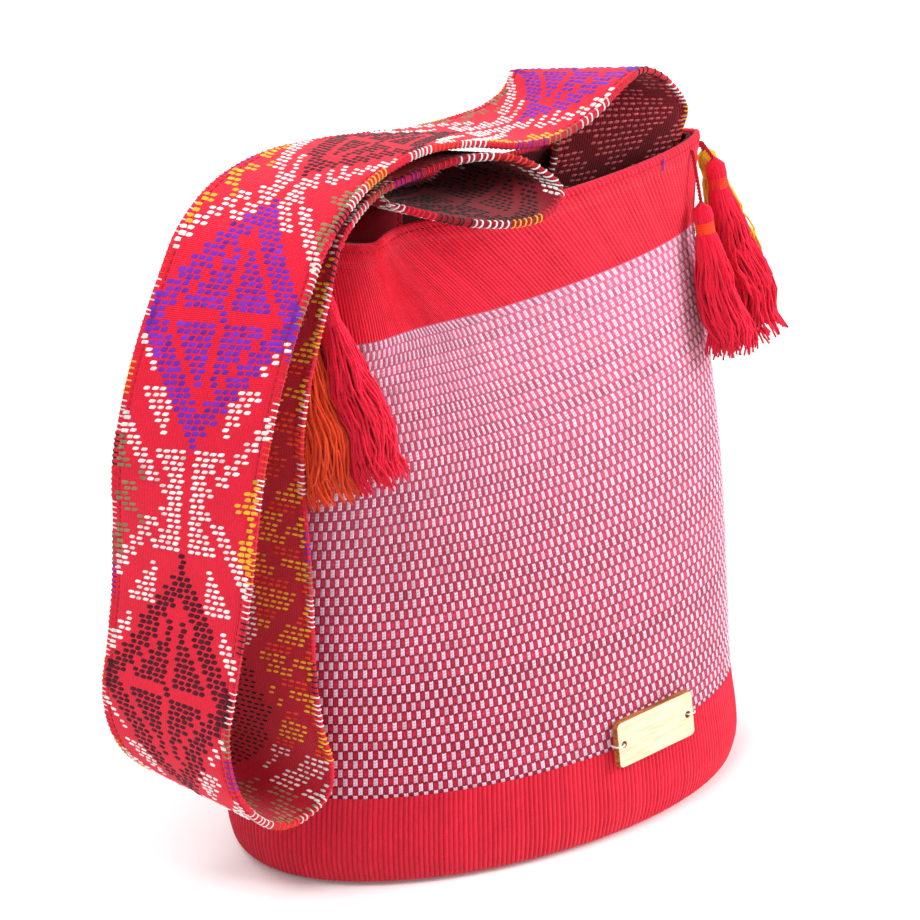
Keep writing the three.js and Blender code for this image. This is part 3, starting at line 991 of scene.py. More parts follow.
@dataclass
class Inside:
    """The facing under the rim, its red cloth darkened by painted shade, and the black lining below it.

    Attributes:
        wall: The wall they follow.
        inset: How far inside the wall they lie.
        thickness: Their thickness.
        facing_depth: How far the facing reaches down.
        floor: Height of the lining's floor.
    """

    wall: Wall
    inset: float = 3.2
    thickness: float = 1.0
    facing_depth: float = 36.0
    floor: float = 6.2

    def facing(self) -> Patch:
        """Makes the facing: ribbed on its inner face, with a turned lower edge.

        Returns:
            The patch.
        """
        columns, rows, rib = 1200, 12, 4
        number = np.arange(columns)
        angle = self.wall.angle_of(number / columns, np.full(columns, 270.0))
        top = self.wall.height - 1.3
        bottom = top - self.facing_depth + 1.5
        heights = np.r_[np.linspace(bottom, top, rows), np.linspace(top, bottom, rows)]
        insets = np.r_[np.full(rows, self.inset - 0.5), np.full(rows, self.inset + self.thickness)]
        rings = [self.wall.shell(angle, np.full(columns, h), i) for h, i in zip(heights, insets)]
        points = np.stack(rings + [rings[0]])
        middle = points.mean(axis=1, keepdims=True)
        groove = np.where(number % rib == 0, 0.0016, 0.0)[None, :, None]
        inner = slice(rows, 2 * rows)
        points[inner] += (points[inner] - middle[inner]) * groove * [1, 1, 0]
        weave = np.stack(np.broadcast_arrays(number[None] / rib, np.r_[heights, heights[0]][:, None]), -1)
        # Painted shade: darker grooves, and the whole facing in the red that is darkened as shade.
        shade = np.where(number % rib == 0, 0.6, 1.0)[None, :, None]
        return grid_patch(points, weave, Dye.PAINTED_SHADE_RED.linear * shade, closed=True)

    def lining(self) -> Patch:
        """Makes the lining: a cup with soft creases that deepen towards its floor.

        Returns:
            The patch.
        """
        top = self.wall.height - self.facing_depth - 0.3
        angle = np.linspace(0, 360, 361)[:-1]
        heights = np.linspace(self.floor, top, 46)
        level, around = np.meshgrid(heights, np.radians(angle), indexing="ij")
        swell = np.sin(np.pi * (level - self.floor) / (top - self.floor))
        crease = 0.9 * np.sin(7 * around + 3 * np.sin(level / 40)) * swell
        inner = self.wall.shell(angle[None], heights[:, None], self.inset + self.thickness)
        middle = inner.mean(axis=1, keepdims=True)
        inward = unit((middle - inner) * [1, 1, 0])
        inner = inner + inward * (0.9 + crease)[..., None]
        shares = np.linspace(1, 0.03, 14)[1:]
        ring = inner[0]
        floor_rings = ring.mean(axis=0) + (ring - ring.mean(axis=0)) * shares[:, None, None]
        ripple = np.sin(4 * around[0])[None] * np.sin(np.pi * shares)[:, None]
        floor_rings[..., 2] = self.floor + 0.5 * ripple
        outer = self.wall.shell(angle[None], np.array([top, self.floor])[:, None], self.inset)
        points = np.concatenate([outer[1:], outer[:1], inner[::-1], floor_rings])
        weave = np.stack(np.broadcast_arrays(np.radians(angle)[None] * 90, points[..., 2]), -1)
        return grid_patch(points, weave, Dye.BLACK.linear, closed=True)

    def build(self, materials: Materials) -> None:
        """Makes and dresses the facing and the lining.

        Args:
            materials: Where the materials come from.
        """
        dark = YarnFinish("facing_cotton", 1.0, 0.9, relief=0.12, uneven=0.15)
        black = YarnFinish("lining_cotton", 0.6, 0.6, relief=0.06, uneven=0.2, fuzz=0.05)
        facing = make_piece("facing", self.facing(), materials.yarn(dark), "bag")
        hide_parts("rim_facing")
        lining = make_piece("lining_cup", self.lining(), materials.yarn(black), "bag")
        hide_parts("lining")
        dress("base_board", materials.wood("stiff_board", (190, 175, 148), (160, 146, 120)))


def catmull(points: np.ndarray, count: int) -> np.ndarray:
    """Reads a centripetal Catmull-Rom curve through points.

    Args:
        points: The points it passes through.
        count: How many places to read it at.

    Returns:
        Array (count, 3).
    """
    held = np.vstack([2 * points[0] - points[1], points, 2 * points[-1] - points[-2]])
    spans = len(held) - 2
    along = np.linspace(0, spans - 1, count)
    i = np.minimum(along.astype(int), spans - 2)
    w = (along - i)[:, None]
    p0, p1, p2, p3 = held[i], held[i + 1], held[i + 2], held[i + 3]
    d0, d1, d2 = (
        (np.sum((a - b) ** 2, axis=1) ** 0.25)[:, None] for a, b in ((p0, p1), (p1, p2), (p2, p3))
    )
    m1 = ((p1 - p0) / d0 - (p2 - p0) / (d0 + d1) + (p2 - p1) / d1) * d1
    m2 = ((p2 - p1) / d1 - (p3 - p1) / (d1 + d2) + (p3 - p2) / d2) * d1
    c2 = -3 * p1 + 3 * p2 - 2 * m1 - m2
    c3 = 2 * p1 - 2 * p2 + m1 + m2
    return p1 + m1 * w + c2 * w**2 + c3 * w**3


# Each stop of the strap's front edge is x, y, height over the rim, turn and fall. Over the mouth x is a
# share of the half mouth, and in the loop it is in millimetres from 121 mm left of the middle.
OVER_MOUTH_OUT = (
    (0.87, -3, -33, 11, 0), (0.88, -3, -16, 11, 0), (0.92, -3, -2, 12, -2), (0.94, -4, 9, 18, 3),
    (0.85, -6, 22, 36, 2), (0.7, -9, 32, 57, -8), (0.5, -20, 32, 76, -9), (0.34, -25, 25, 88, -6),
    (0.16, -27, 20, 94, -5), (-0.03, -28, 21, 98, -7), (-0.24, -29, 27, 97, -12),
    (-0.43, -31, 30, 94, -12), (-0.59, -34, 29, 87, -8), (-0.76, -38, 24, 78, -2), (-0.89, -42, 15, 66, 3),
)
HANGING_LOOP = (
    (11, -46, 4, 56, 4), (3, -49, -8, 50, 2), (-6, -51, -25, 45, 0), (-15, -52, -49, 44, 0),
    (-22, -52, -76, 48, 0), (-27, -52, -107, 56, 0), (-31, -51, -136, 61, 0), (-36, -49, -167, 64, 2),
    (-38, -45, -195, 66, 6), (-31, -43, -223, 66, 10), (-14, -40, -242, 64, 12), (2, -37, -246, 62, 12),
    (14, -38, -238, 62, 10), (15, -40, -224, 62, 6), (11, -39, -205, 62, 2), (9, -38, -182, 62, 0),
    (8, -38, -154, 62, 0), (7, -38, -123, 62, 0), (5, -38, -92, 62, 0), (5, -39, -68, 62, 0),
    (9, -41, -42, 62, 0), (14, -44, -17, 64, 0), (22, -41, 3, 68, 0),
)
OVER_MOUTH_BACK = (
    (-0.79, -33, 9, 72, -4), (-0.65, -27, 15, 76, -9), (-0.5, -26, 18, 78, -12), (-0.35, -28, 21, 78, -13),
    (-0.22, -32, 22, 78, -13), (-0.1, -38, 20, 76, -10), (-0.03, -45, 15, 76, -6), (0, -52, 9, 76, -2),
    (-0.06, -56, 4, 76, 0), (-0.14, -59, 2.5, 76, 0), (-0.26, -58, 2.5, 76, 0), (-0.4, -50, 4, 76, 0),
    (-0.52, -38, 7, 72, 0), (-0.6, -25, 10, 56, 0), (-0.54, -12, 10, 34, 0), (-0.45, 0, 7, 10, 0),
    (-0.36, 6, 2, -13, 0), (-0.34, 7, -8, -17, 0), (-0.34, 7, -20, -17, 0), (-0.34, 7, -33, -17, 0),
)
SCROLL = np.array(
    [
        [0, 0, 1, 1], [0, 1, 0, 1], [1, 0, 1, 1], [1, 0, 0, 0], [0, 1, 1, 0], [0, 0, 1, 1],
        [0, 1, 1, 0], [1, 0, 0, 0], [1, 0, 1, 1], [0, 1, 0, 1], [0, 0, 1, 1],
    ]
)
SPEAR = np.array([[0, 0, 1], [0, 1, 1], [1, 1, 1], [0, 0, 1]])


@dataclass
class Strap:
    """The broad doubled strap with brocade floats on both faces.

    Attributes:
        width: Its width.
        thickness: Its thickness.
        column_pitch: Distance from float to float across the strap.
        row_pitch: Distance between pairs of rows.
        row_gap: Distance between the two rows of a pair.
        columns: Floats across the strap.
        first_row: Distance from the first end to the first pair.
        wrap_pitch: Distance between the floats that wrap round an edge.
        stitch_pitch: Distance between the stitches of a seam.
        seam: Distance from the middle to a row of those stitches.
        stations: Points that the route is read at.
    """

    width: float = 61.0
    thickness: float = 2.7
    column_pitch: float = 3.08
    row_pitch: float = 5.05
    row_gap: float = 2.5
    columns: int = 19
    first_row: float = 3.0
    wrap_pitch: float = 2.52
    stitch_pitch: float = 3.0
    seam: float = 27.0
    stations: int = 2200

    def __post_init__(self) -> None:
        """Tables the route by its real length."""
        rim, half_mouth, loop = 288.0, 110.0, 121.0
        table = np.array(OVER_MOUTH_OUT + HANGING_LOOP + OVER_MOUTH_BACK, float)
        hangs = slice(len(OVER_MOUTH_OUT), len(OVER_MOUTH_OUT) + len(HANGING_LOOP))
        shifted = table[hangs, 0] - loop
        table[:, 0] *= half_mouth
        table[hangs, 0] = shifted
        table[:, 2] += rim
        turn, fall = np.radians(table[:, 3]), np.radians(table[:, 4])
        across = np.stack([np.cos(turn) * np.cos(fall), -np.sin(turn) * np.cos(fall), -np.sin(fall)], -1)
        front = table[:, :3]
        edges = [catmull(front, self.stations), catmull(front - across * self.width, self.stations)]
        centre = (edges[0] + edges[1]) / 2
        run = np.r_[0, np.cumsum(np.linalg.norm(np.diff(centre, axis=0), axis=1))]
        self.length = float(run[-1])
        even = np.linspace(0, self.length, self.stations)
        self.edges = [np.stack([np.interp(even, run, e[:, k]) for k in range(3)], -1) for e in edges]
        self.chance = np.random.default_rng(SEED + 1)

    def place(self, along: np.ndarray, across: np.ndarray, out: np.ndarray | float) -> np.ndarray:
        """Finds points on the strap.

        Args:
            along: Distance from the first end.
            across: Distance from the middle towards the front edge.
            out: Distance out of the middle of the cloth, towards the outer face.

        Returns:
            Array (..., 3).
        """
        along, across, out = np.broadcast_arrays(along, across, np.asarray(out, float))
        last = self.stations - 1
        place = np.clip(along / self.length, 0, 1) * last
        low = np.clip(place.astype(int), 0, last - 1)
        step = (place - low)[..., None]
        share = (across / self.width + 0.5)[..., None]
        near, far = (edge[low] * (1 - step) + edge[low + 1] * step for edge in self.edges)
        before, after = np.clip(low - 3, 0, None), np.clip(low + 4, None, last)
        ahead_near, ahead_far = (edge[after] - edge[before] for edge in self.edges)
        ahead = ahead_near * share + ahead_far * (1 - share)
        normal = unit(np.cross(ahead, near - far))
        return near * share + far * (1 - share) + normal * out[..., None]

    def ribbon(self) -> Patch:
        """Makes the ground cloth: a flat tube of cloth with a seam along each edge.

        Returns:
            The patch.
        """
        half, edge = self.width / 2, 0.9
        flat = np.linspace(1, -1, 23) * (half - edge)
        seam = half - 3.5
        flat = np.sort(np.r_[flat, seam - 0.9, seam, seam + 0.9, -seam - 0.9, -seam, -seam + 0.9])[::-1]
        dent = 0.4 * np.exp(-(((np.abs(flat) - seam) / 0.7) ** 2))
        level = self.thickness / 2 - dent
        bend = np.radians(np.array([60, 30, 0, -30, -60]))
        side_across, side_out = half - edge + edge * np.cos(bend), self.thickness / 2 * np.sin(bend)
        across = np.r_[flat, -side_across, flat[::-1], side_across]
        out = np.r_[level, side_out, -level[::-1], -side_out]
        along = np.linspace(0.4, self.length - 0.4, 820)
        points = self.place(along[:, None], across[None], out[None])
        around = np.cumsum(np.r_[0, np.hypot(np.diff(across), np.diff(out))])
        weave = np.stack(np.broadcast_arrays(along[:, None], around[None]), -1)
        outer = np.r_[np.ones(len(flat)), np.full(5, 0.5), np.zeros(len(flat)), np.full(5, 0.5)]
        # Painted shade on the outer face where the strap folds back over the mouth, 0.28 of the dye.
        dark = np.interp(along, [850, 885, 985, 1010], [1, 0.28, 0.28, 1])[:, None, None]
        # Painted shade on the inner face: 0.08 of the dye inside the mouth, rising to 0.6 from 180 mm along.
        inner_painted_shade = np.interp(along, [0, 60, 130, 180], [0.08, 0.25, 0.3, 0.6])[:, None, None]
        tint = Dye.RED.linear * (outer[:, None] * dark + inner_painted_shade * (1 - outer[:, None]))
        patch = grid_patch(points, weave, tint, closed=True)
        ring = np.arange(len(across))
        pairs = (2 * len(flat) + 4 - ring) % len(across)
        firsts, lasts = [], []
        start = (len(along) - 1) * len(across)
        for k in range(len(flat) - 1):
            firsts.append([k + 1, k, pairs[k], pairs[k + 1]])
            lasts.append([start + k, start + k + 1, start + pairs[k + 1], start + pairs[k]])
        patch.faces = np.vstack([patch.faces, firsts, lasts])
        return patch

    def _rows(self) -> tuple[np.ndarray, ...]:
        """Lays out every place that a float may take.

        Returns:
            Number of the pair, of the row in it and of the column.
        """
        pairs = int(self.length / self.row_pitch) - 1
        half = self.columns // 2
        return np.meshgrid(np.arange(pairs), np.arange(2), np.arange(-half, half + 1), indexing="ij")

    def _pair_at(self, along: float) -> int:
        """The pair of rows nearest to a place along the strap."""
        return round((along - self.first_row) / self.row_pitch)

    def outer_motif(self) -> np.ndarray:
        """Plans the outer face: diamonds, the arms and teeth between them and scrolls at one edge.

        A diamond reaches 10.2 (1 - away / half) columns each side, less one column for the inner ring.

        Returns:
            The number of each place's dye, or -1 where the ground shows.
        """
        pair, _, column = self._rows()
        colour = np.full(pair.shape, -1)
        centres = [(75, 8.5, Dye.PURPLE), (190, 8.5, Dye.MAROON), (299, 10.5, Dye.PURPLE)]
        centres += [(463, 12.0, Dye.MAROON), (625, 10.5, Dye.PURPLE), (775, 11.0, Dye.MAROON)]
        centres += [(945, 12.0, Dye.BLACK)]
        side = np.abs(column)
        free = np.ones(pair.shape, bool)
        for at, half, dye in centres:
            away = np.abs(pair - self._pair_at(at))
            reach = 10.2 * (1 - away / half)
            ring = (side > reach - 4) & (side <= reach - 3)
            cross = ((side < 1) | (away < 1)) & (side <= reach - 3) & (away + side > 0)
            colour = np.where((side <= reach) & ~ring & ~cross, dye.number, colour)
            free &= side > reach + 0.5
        joins = [(124, Dye.GREEN, Dye.YELLOW), (241, Dye.YELLOW, Dye.GREEN), (377, Dye.GREEN, Dye.YELLOW)]
        joins += [(545, Dye.YELLOW, Dye.ORANGE), (700, Dye.GREEN, Dye.YELLOW), (852, Dye.YELLOW, Dye.GREEN)]
        for at, left, right in joins:
            middle = self._pair_at(at)
            away = np.abs(pair - middle)
            lean = away + (away > 1)
            figure = (side >= lean + 1) & (side <= lean + 2)
            for first, tooth in ((0, 1), (5, 4), (10, 7)):
                inside = (side >= tooth) & (side < away - first + tooth)
                figure |= (away > first) & (away < first + 5) & inside
            colour = np.where(figure & free & (colour < 0), Dye.WHITE.number, colour)
            colour = self._stamp(colour, SCROLL, pair - middle + 5, -column - 6, left.number)
            for shift in (-2, 2):
                colour = self._stamp(colour, SPEAR, pair - middle - shift, column - 7, right.number)
        return colour

    @staticmethod
    def _stamp(
        colour: np.ndarray, shape: np.ndarray, row: np.ndarray, column: np.ndarray, dye: int
    ) -> np.ndarray:
        """Draws a small figure on the bare places of a plan of floats.

        Args:
            colour: The plan.
            shape: The figure, 1 where it has a float.
            row: Row of the figure at each place.
            column: Column of the figure at each place.
            dye: Number of its dye.

        Returns:
            The new plan.
        """
        rows, columns = shape.shape
        fits = (colour < 0) & (row >= 0) & (row < rows) & (column >= 0) & (column < columns)
        drawn = shape[np.clip(row, 0, rows - 1), np.clip(column, 0, columns - 1)] == 1
        return np.where(fits & drawn, dye, colour)

    def inner_motif(self) -> np.ndarray:
        """Plans the inner face: close rows of dashes in bands of colour, broken by zigzag gaps.

        Returns:
            The number of each place's dye, or -1 where the ground shows.
        """
        pair, _, column = self._rows()
        along = self.first_row + pair * self.row_pitch
        # The bands inside the mouth and round the fold over it use pale dashes darkened by painted shade.
        bands = [(0, Dye.PAINTED_SHADE_PALE), (160, Dye.WHITE), (330, Dye.YELLOW), (430, Dye.WHITE), (525, Dye.GREEN)]
        bands += [(558, Dye.WHITE), (660, Dye.YELLOW), (700, Dye.ORANGE), (735, Dye.YELLOW)]
        bands += [(800, Dye.WHITE), (850, Dye.PAINTED_SHADE_PALE), (900, Dye.BLACK), (940, Dye.PAINTED_SHADE_PALE)]
        bands += [(975, Dye.WHITE), (1010, Dye.PAINTED_SHADE_PALE)]
        starts = np.array([start for start, _ in bands])
        number = np.array([dye.number for _, dye in bands])
        colour = number[np.searchsorted(starts, along, side="right") - 1]
        amber = np.where(pair % 3 == 0, Dye.ORANGE.number, Dye.YELLOW.number)
        colour = np.where((along > 578) & (along < 660) & (column > 1), amber, colour)
        colour = np.where((along > 660) & (along < 800) & (pair % 4 == 0), Dye.ORANGE.number, colour)
        wave = np.abs((pair + 40) % 12 - 6) * 1.5
        beyond = np.abs(column) - wave
        gap = (np.abs(beyond) < 1.1) | (np.abs(beyond - 6) < 0.9)
        colour = np.where(gap, -1, colour)
        for at, middle, half in ((596, -7, 12), (905, 0, 8), (235, 4, 8)):
            away = np.abs(pair - self._pair_at(at))
            size = np.abs(column - middle) / 9.6 + away / half
            colour = np.where(size < 1.16, -1, colour)
            colour = np.where(size < 0.98, Dye.BLACK.number, colour)
        return colour

    def motif(self, side: Side) -> tuple[np.ndarray, np.ndarray, np.ndarray]:
        """Finds the floats of one face.

        Args:
            side: Which face.

        Returns:
            Place along, place across and dye number of each float.
        """
        pair, row, column = self._rows()
        colour = self.outer_motif() if side is Side.OUTER else self.inner_motif()
        along = self.first_row + pair * self.row_pitch + row * self.row_gap
        across = column * self.column_pitch + np.where(row == 1, 0.8, 0.0)
        keep = (colour >= 0) & (np.abs(across) < self.width / 2 - 1.6)
        return along[keep], across[keep], colour[keep]

    def floats(self, side: Side) -> Patch:
        """Makes the floats of one face: low oval pillows.

        A float stands 0.5 (1 - u^2)^0.5 (1 - v^2)^0.5 - 0.06 mm over the cloth.

        Args:
            side: Which face.

        Returns:
            The patch.
        """
        along, across, colour = self.motif(side)
        count = len(along)
        wander = self.chance.standard_normal((4, count))
        along, across = along + 0.12 * wander[0], across + 0.12 * wander[1]
        fine = np.isin(colour, [Dye.PURPLE.number, Dye.MAROON.number])
        long = np.where(fine, 1.5, 1.34) * (1 + 0.05 * wander[2])
        broad = np.where(fine, 1.16, 0.84) * (1 + 0.06 * wander[3])
        if side is Side.INNER:
            long, broad = long * 0.95, broad * 0.72
        u = np.linspace(-1, 1, 5)[None, None, :]
        v = np.linspace(-1, 1, 3)[None, :, None]
        taper = 1 - 0.25 * np.abs(u) ** 3
        flat_u = along[:, None, None] + broad[:, None, None] * v * taper
        flat_v = across[:, None, None] - side.value * long[:, None, None] * u + 0 * v
        rise = 0.5 * np.sqrt(1 - u**2) * np.sqrt(1 - v**2) - 0.06
        out = side.value * (self.thickness / 2 + rise + 0 * flat_u)
        points = self.place(flat_u, flat_v, out)
        shades = np.stack([dye.linear for dye in Dye])
        tint = shades[colour][:, None, None, :] * (1 + 0.12 * wander[2])[:, None, None, None]
        weave = np.stack(np.broadcast_arrays(flat_u, flat_v), -1)
        return grid_patch(points, weave, np.clip(tint, 0, 1))

    def wraps(self) -> Patch:
        """Makes the floats that wrap round both edges, in groups of one colour.

        Returns:
            The patch.
        """
        rows = int(self.length / self.wrap_pitch) - 2
        groups = [Dye.WHITE, Dye.RED, Dye.YELLOW, Dye.WHITE, Dye.BLACK, Dye.RED]
        groups += [Dye.WHITE, Dye.GREEN, Dye.PURPLE, Dye.RED, Dye.WHITE, Dye.ORANGE]
        half, inner = self.thickness / 2, 28.2
        patches = []
        for sign in (1.0, -1.0):
            wander = 0.25 * self.chance.standard_normal(rows)
            start = self.first_row + np.arange(rows) * self.wrap_pitch + wander
            group = (np.arange(rows) // 6 + (0 if sign > 0 else 5)) % len(groups)
            bend = np.radians(np.linspace(80, -80, 6))
            reach = self.width / 2 - 0.9 + 0.95 * np.cos(bend)
            across = np.r_[inner, reach, inner] * sign
            out = np.r_[half - 0.1, (half + 0.05) * np.sin(bend), 0.1 - half]
            slant = np.linspace(-0.7, 0.7, len(across)) * sign
            paths = self.place(start[:, None] + slant[None], across[None], out[None])
            ahead = unit(self.place(start + 1, 0 * start, 0.0) - self.place(start - 1, 0 * start, 0.0))
            tint = np.stack([dye.linear for dye in groups])[group]
            tint = tint * (1 + 0.12 * self.chance.standard_normal((rows, 1)))
            patches.append(tubes(paths, 0.36, 4, ahead, np.clip(tint, 0, 1)[:, None, None, :]))
        return Patch.joined(patches)

    def seams(self) -> Patch:
        """Makes the stitches of the two edge seams, on both faces.

        Returns:
            The patch.
        """
        count = int(self.length / self.stitch_pitch)
        start = np.arange(count)[:, None] * self.stitch_pitch + 0.6
        along = start + np.linspace(0, 2.1, 4)[None]
        patches = []
        for sign in (1.0, -1.0):
            for side in Side:
                lift = np.array([-0.25, 0.0, 0.0, -0.25])[None] + self.thickness / 2 - 0.2
                across = sign * self.seam
                paths = self.place(along, across, side.value * lift)
                normals = unit(self.place(along[:, 1], across, 1.0) - self.place(along[:, 1], across, 0.0))
                patches.append(tubes(paths, 0.28, 4, normals, Dye.DEEP_RED.linear))
        return Patch.joined(patches)

    def build(self, materials: Materials) -> None:
        """Makes and dresses the strap.

        Args:
            materials: Where the materials come from.
        """
        ground = materials.yarn(YarnFinish("strap_ground", 0.78, 1.1, relief=0.26, uneven=0.12))
        silk = materials.yarn(YarnFinish("brocade_yarn", 0.45, 9.0, relief=0.06, uneven=0.12, roughness=0.7))
        ribbon = make_piece("strap_cloth", self.ribbon(), ground, "bag")
        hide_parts("strap")
        make_piece("strap_outer_floats", self.floats(Side.OUTER), silk, "bag")
        make_piece("strap_inner_floats", self.floats(Side.INNER), silk, "bag")
        make_piece("strap_edge_wraps", self.wraps(), silk, "bag")
        make_piece("strap_seams", self.seams(), silk, "bag")


@dataclass(frozen=True)
class TasselPlan:
    """Where one tassel hangs.

    Attributes:
        name: Its name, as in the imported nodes.
        body: The body it moves with.
        sewn: Where its cord leaves the rim.
        head: Top of its head.
        down: The way it hangs.
        yarn: Colour of its strands.
        wrap: Colour of its neck wrap.
        length: Length from the top of its head.
        lean: How far its foot is swept along x and y.
    """

    name: str
    body: str
    sewn: tuple[float, float, float]
    head: tuple[float, float, float]
    down: tuple[float, float, float]
    yarn: Dye
    wrap: Dye
    length: float = 84.0
    lean: tuple[float, float] = (0.0, 0.0)


TASSELS = (
    TasselPlan(
        "left_red", "left_red_tassel", (-98.2, -22.4, 281.8), (-100.5, -28.8, 270.1), (0.19, -0.2, -0.96),
        Dye.TASSEL_RED, Dye.RED, lean=(1.0, -2.0),
    ),
    TasselPlan(
        "left_orange", "bag", (-106.1, -17.4, 281.5), (-109.2, -23.5, 266.0), (0.08, -0.18, -0.98),
        Dye.ORANGE, Dye.RED,
    ),
    TasselPlan(
        "right_red_upper", "right_upper_tassel", (108.7, -7.2, 281.4), (116.4, -6.6, 272.7),
        (0.16, -0.12, -0.98), Dye.TASSEL_RED, Dye.ORANGE, lean=(6.0, -5.0),
    ),
    TasselPlan(
        "right_red_lower", "right_lower_tassel", (97.8, -14.5, 281.8), (103.5, -14.4, 257.4),
        (0.05, -0.23, -0.97), Dye.TASSEL_RED, Dye.ORANGE, length=68.0, lean=(3.0, -2.0),
    ),
    TasselPlan(
        "right_yellow", "right_yellow_tassel", (110.5, 0.2, 281.3), (118.6, 2.5, 273.5), (0.37, 0.0, -0.93),
        Dye.YELLOW, Dye.YELLOW, lean=(0.0, 2.0),
    ),
)


@dataclass
class Tassels:
    """Loose yarn tassels, each hung on a cord.

    Attributes:
        wall: The wall they must stay outside of.
        strands: Strands in a skirt.
        stations: Points along a strand.
        locks: How many locks the strands of a skirt cling together in.
        profile: Distances from the top of the head, and the reach of the skirt at each.
        hint: A direction that no tassel hangs along.
    """

    wall: Wall
    strands: int = 230
    stations: int = 15
    locks: int = 14
    profile: tuple = ((0, 1.5, 5, 8.5, 11, 16, 40, 84), (0.3, 3.0, 4.4, 4.0, 2.9, 4.8, 8.2, 11.2))
    hint: tuple[float, float, float] = (0.3, 1.0, 0.2)

    def __post_init__(self) -> None:
        """Tables the wall once, to keep strands out of it."""
        lap, height = np.meshgrid(np.arange(240) / 240, np.linspace(60, 287, 46), indexing="ij")
        self.table = self.wall.frame_at(lap.ravel(), height.ravel())
        self.chance = np.random.default_rng(SEED + 2)

    def _clear(self, points: np.ndarray, gap: float) -> np.ndarray:
        """Moves points that are nearer to the wall than a gap out of it.

        Args:
            points: Array (..., 3).
            gap: The least distance.

        Returns:
            The moved points.
        """
        flat = points.reshape(-1, 3)
        moved, size = flat.copy(), 2000
        for start in range(0, len(flat), size):
            block = flat[start : start + size]
            away = ((block[:, None, :] - self.table[0][None]) ** 2).sum(axis=-1)
            near = away.argmin(axis=1)
            normal = self.table[1][near]
            depth = ((block - self.table[0][near]) * normal).sum(axis=-1)
            moved[start : start + size] = block + normal * np.clip(gap - depth, 0, None)[:, None]
        return moved.reshape(points.shape)

    def skirt(self, plan: TasselPlan) -> Patch:
        """Makes a tassel's strands, from the top of its head to their uneven ends.

        Args:
            plan: Where it hangs.

        Returns:
            The patch.
        """
        chance = self.chance
        down = unit(np.array(plan.down))
        side, front = crosswise(down, self.hint)
        angle = 2 * np.pi * chance.random(self.strands)
        share = np.sqrt(chance.random(self.strands))
        share[: self.strands // 2] = 0.85 + 0.15 * share[: self.strands // 2]
        long = plan.length * (0.86 + 0.14 * chance.random(self.strands))
        t = np.linspace(0, 1, self.stations)[None] ** 1.15 * long[:, None]
        reach = np.interp(t, *self.profile) * share[:, None]
        wave = np.clip((t - 14) / 30, 0, 1)
        phase = 2 * np.pi * chance.random((2, self.strands, 1))
        lock = chance.integers(0, self.locks, self.strands)
        shared = chance.random((2, self.locks, 1))[:, lock]
        phase = phase * 0.25 + 2 * np.pi * shared
        period = 26 + 16 * shared + 3 * chance.random((2, self.strands, 1))
        sway = wave * (0.8 + 1.7 * chance.random((2, self.strands, 1)))
        swing = sway * np.sin(2 * np.pi * t[None] / period + phase)
        spin = angle[:, None] + 0.35 * wave * np.sin(t / 23 + phase[0])
        sideways = reach * np.cos(spin) + swing[0]
        forwards = reach * np.sin(spin) + swing[1]
        paths = np.array(plan.head) + down * t[..., None]
        paths = paths + side * sideways[..., None] + front * forwards[..., None]
        paths[..., :2] += np.array(plan.lean) * (wave * (t / plan.length) ** 1.5)[..., None]
        paths = self._clear(paths, 0.8)
        shade = 1 + 0.13 * chance.standard_normal(self.strands)
        tint = np.clip(plan.yarn.linear * shade[:, None], 0, 1)[:, None, None, :]
        return tubes(paths, 0.44, 4, np.broadcast_to(front, (self.strands, 3)), tint)

    def wrap(self, plan: TasselPlan) -> Patch:
        """Makes the coil of yarn round a tassel's neck.

        Args:
            plan: Where it hangs.

        Returns:
            The patch.
        """
        down = unit(np.array(plan.down))
        side, front = crosswise(down, self.hint)
        turn = np.linspace(0, 2 * np.pi * 4.5, 110)
        drop = 9.0 + 4.6 * turn / turn[-1]
        coil = side * np.cos(turn)[:, None] + front * np.sin(turn)[:, None]
        path = np.array(plan.head) + down * drop[:, None] + 3.7 * coil
        return tubes(path[None], 0.62, 6, down[None], plan.wrap.linear)

    def cord(self, plan: TasselPlan) -> Patch:
        """Makes the two twisted plies a tassel hangs by.

        Args:
            plan: Where it hangs.

        Returns:
            The patch.
        """
        sewn, head = np.array(plan.sewn), np.array(plan.head)
        run = np.linspace(0, 1, 60)[:, None]
        spine = sewn * (1 - run) + (head + unit(np.array(plan.down)) * 1.2) * run
        along = unit(head - sewn)
        side, front = crosswise(along, (0.3, 0.2, 1.0))
        turn = run * 2 * np.pi * np.linalg.norm(head - sewn) / 3.2
        plies = [spine + s * 0.42 * (side * np.cos(turn) + front * np.sin(turn)) for s in (1, -1)]
        return tubes(np.stack(plies), 0.48, 6, np.stack([side, side]), Dye.DEEP_RED.linear)

    def build(self, materials: Materials) -> None:
        """Makes and dresses the tassels.

        Args:
            materials: Where the materials come from.
        """
        finish = YarnFinish("tassel_yarn", 1.6, 0.8, relief=0.1, uneven=0.08, fuzz=0.08, skew=1.0)
        yarn = materials.yarn(finish)
        slots = {Dye.RED: "red_yarn", Dye.TASSEL_RED: "red_yarn"}
        slots |= {Dye.ORANGE: "orange_yarn", Dye.YELLOW: "yellow_yarn"}
        for plan in TASSELS:
            for part, patch, slot in (
                ("yarn", self.skirt(plan), slots[plan.yarn]),
                ("wrap", self.wrap(plan), slots[plan.wrap]),
                ("cord", self.cord(plan), "red_yarn"),
            ):
                piece = make_piece(f"{plan.name}_{part}_strands", patch, yarn, plan.body)
                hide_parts(f"tassel_{plan.name}_{part}")


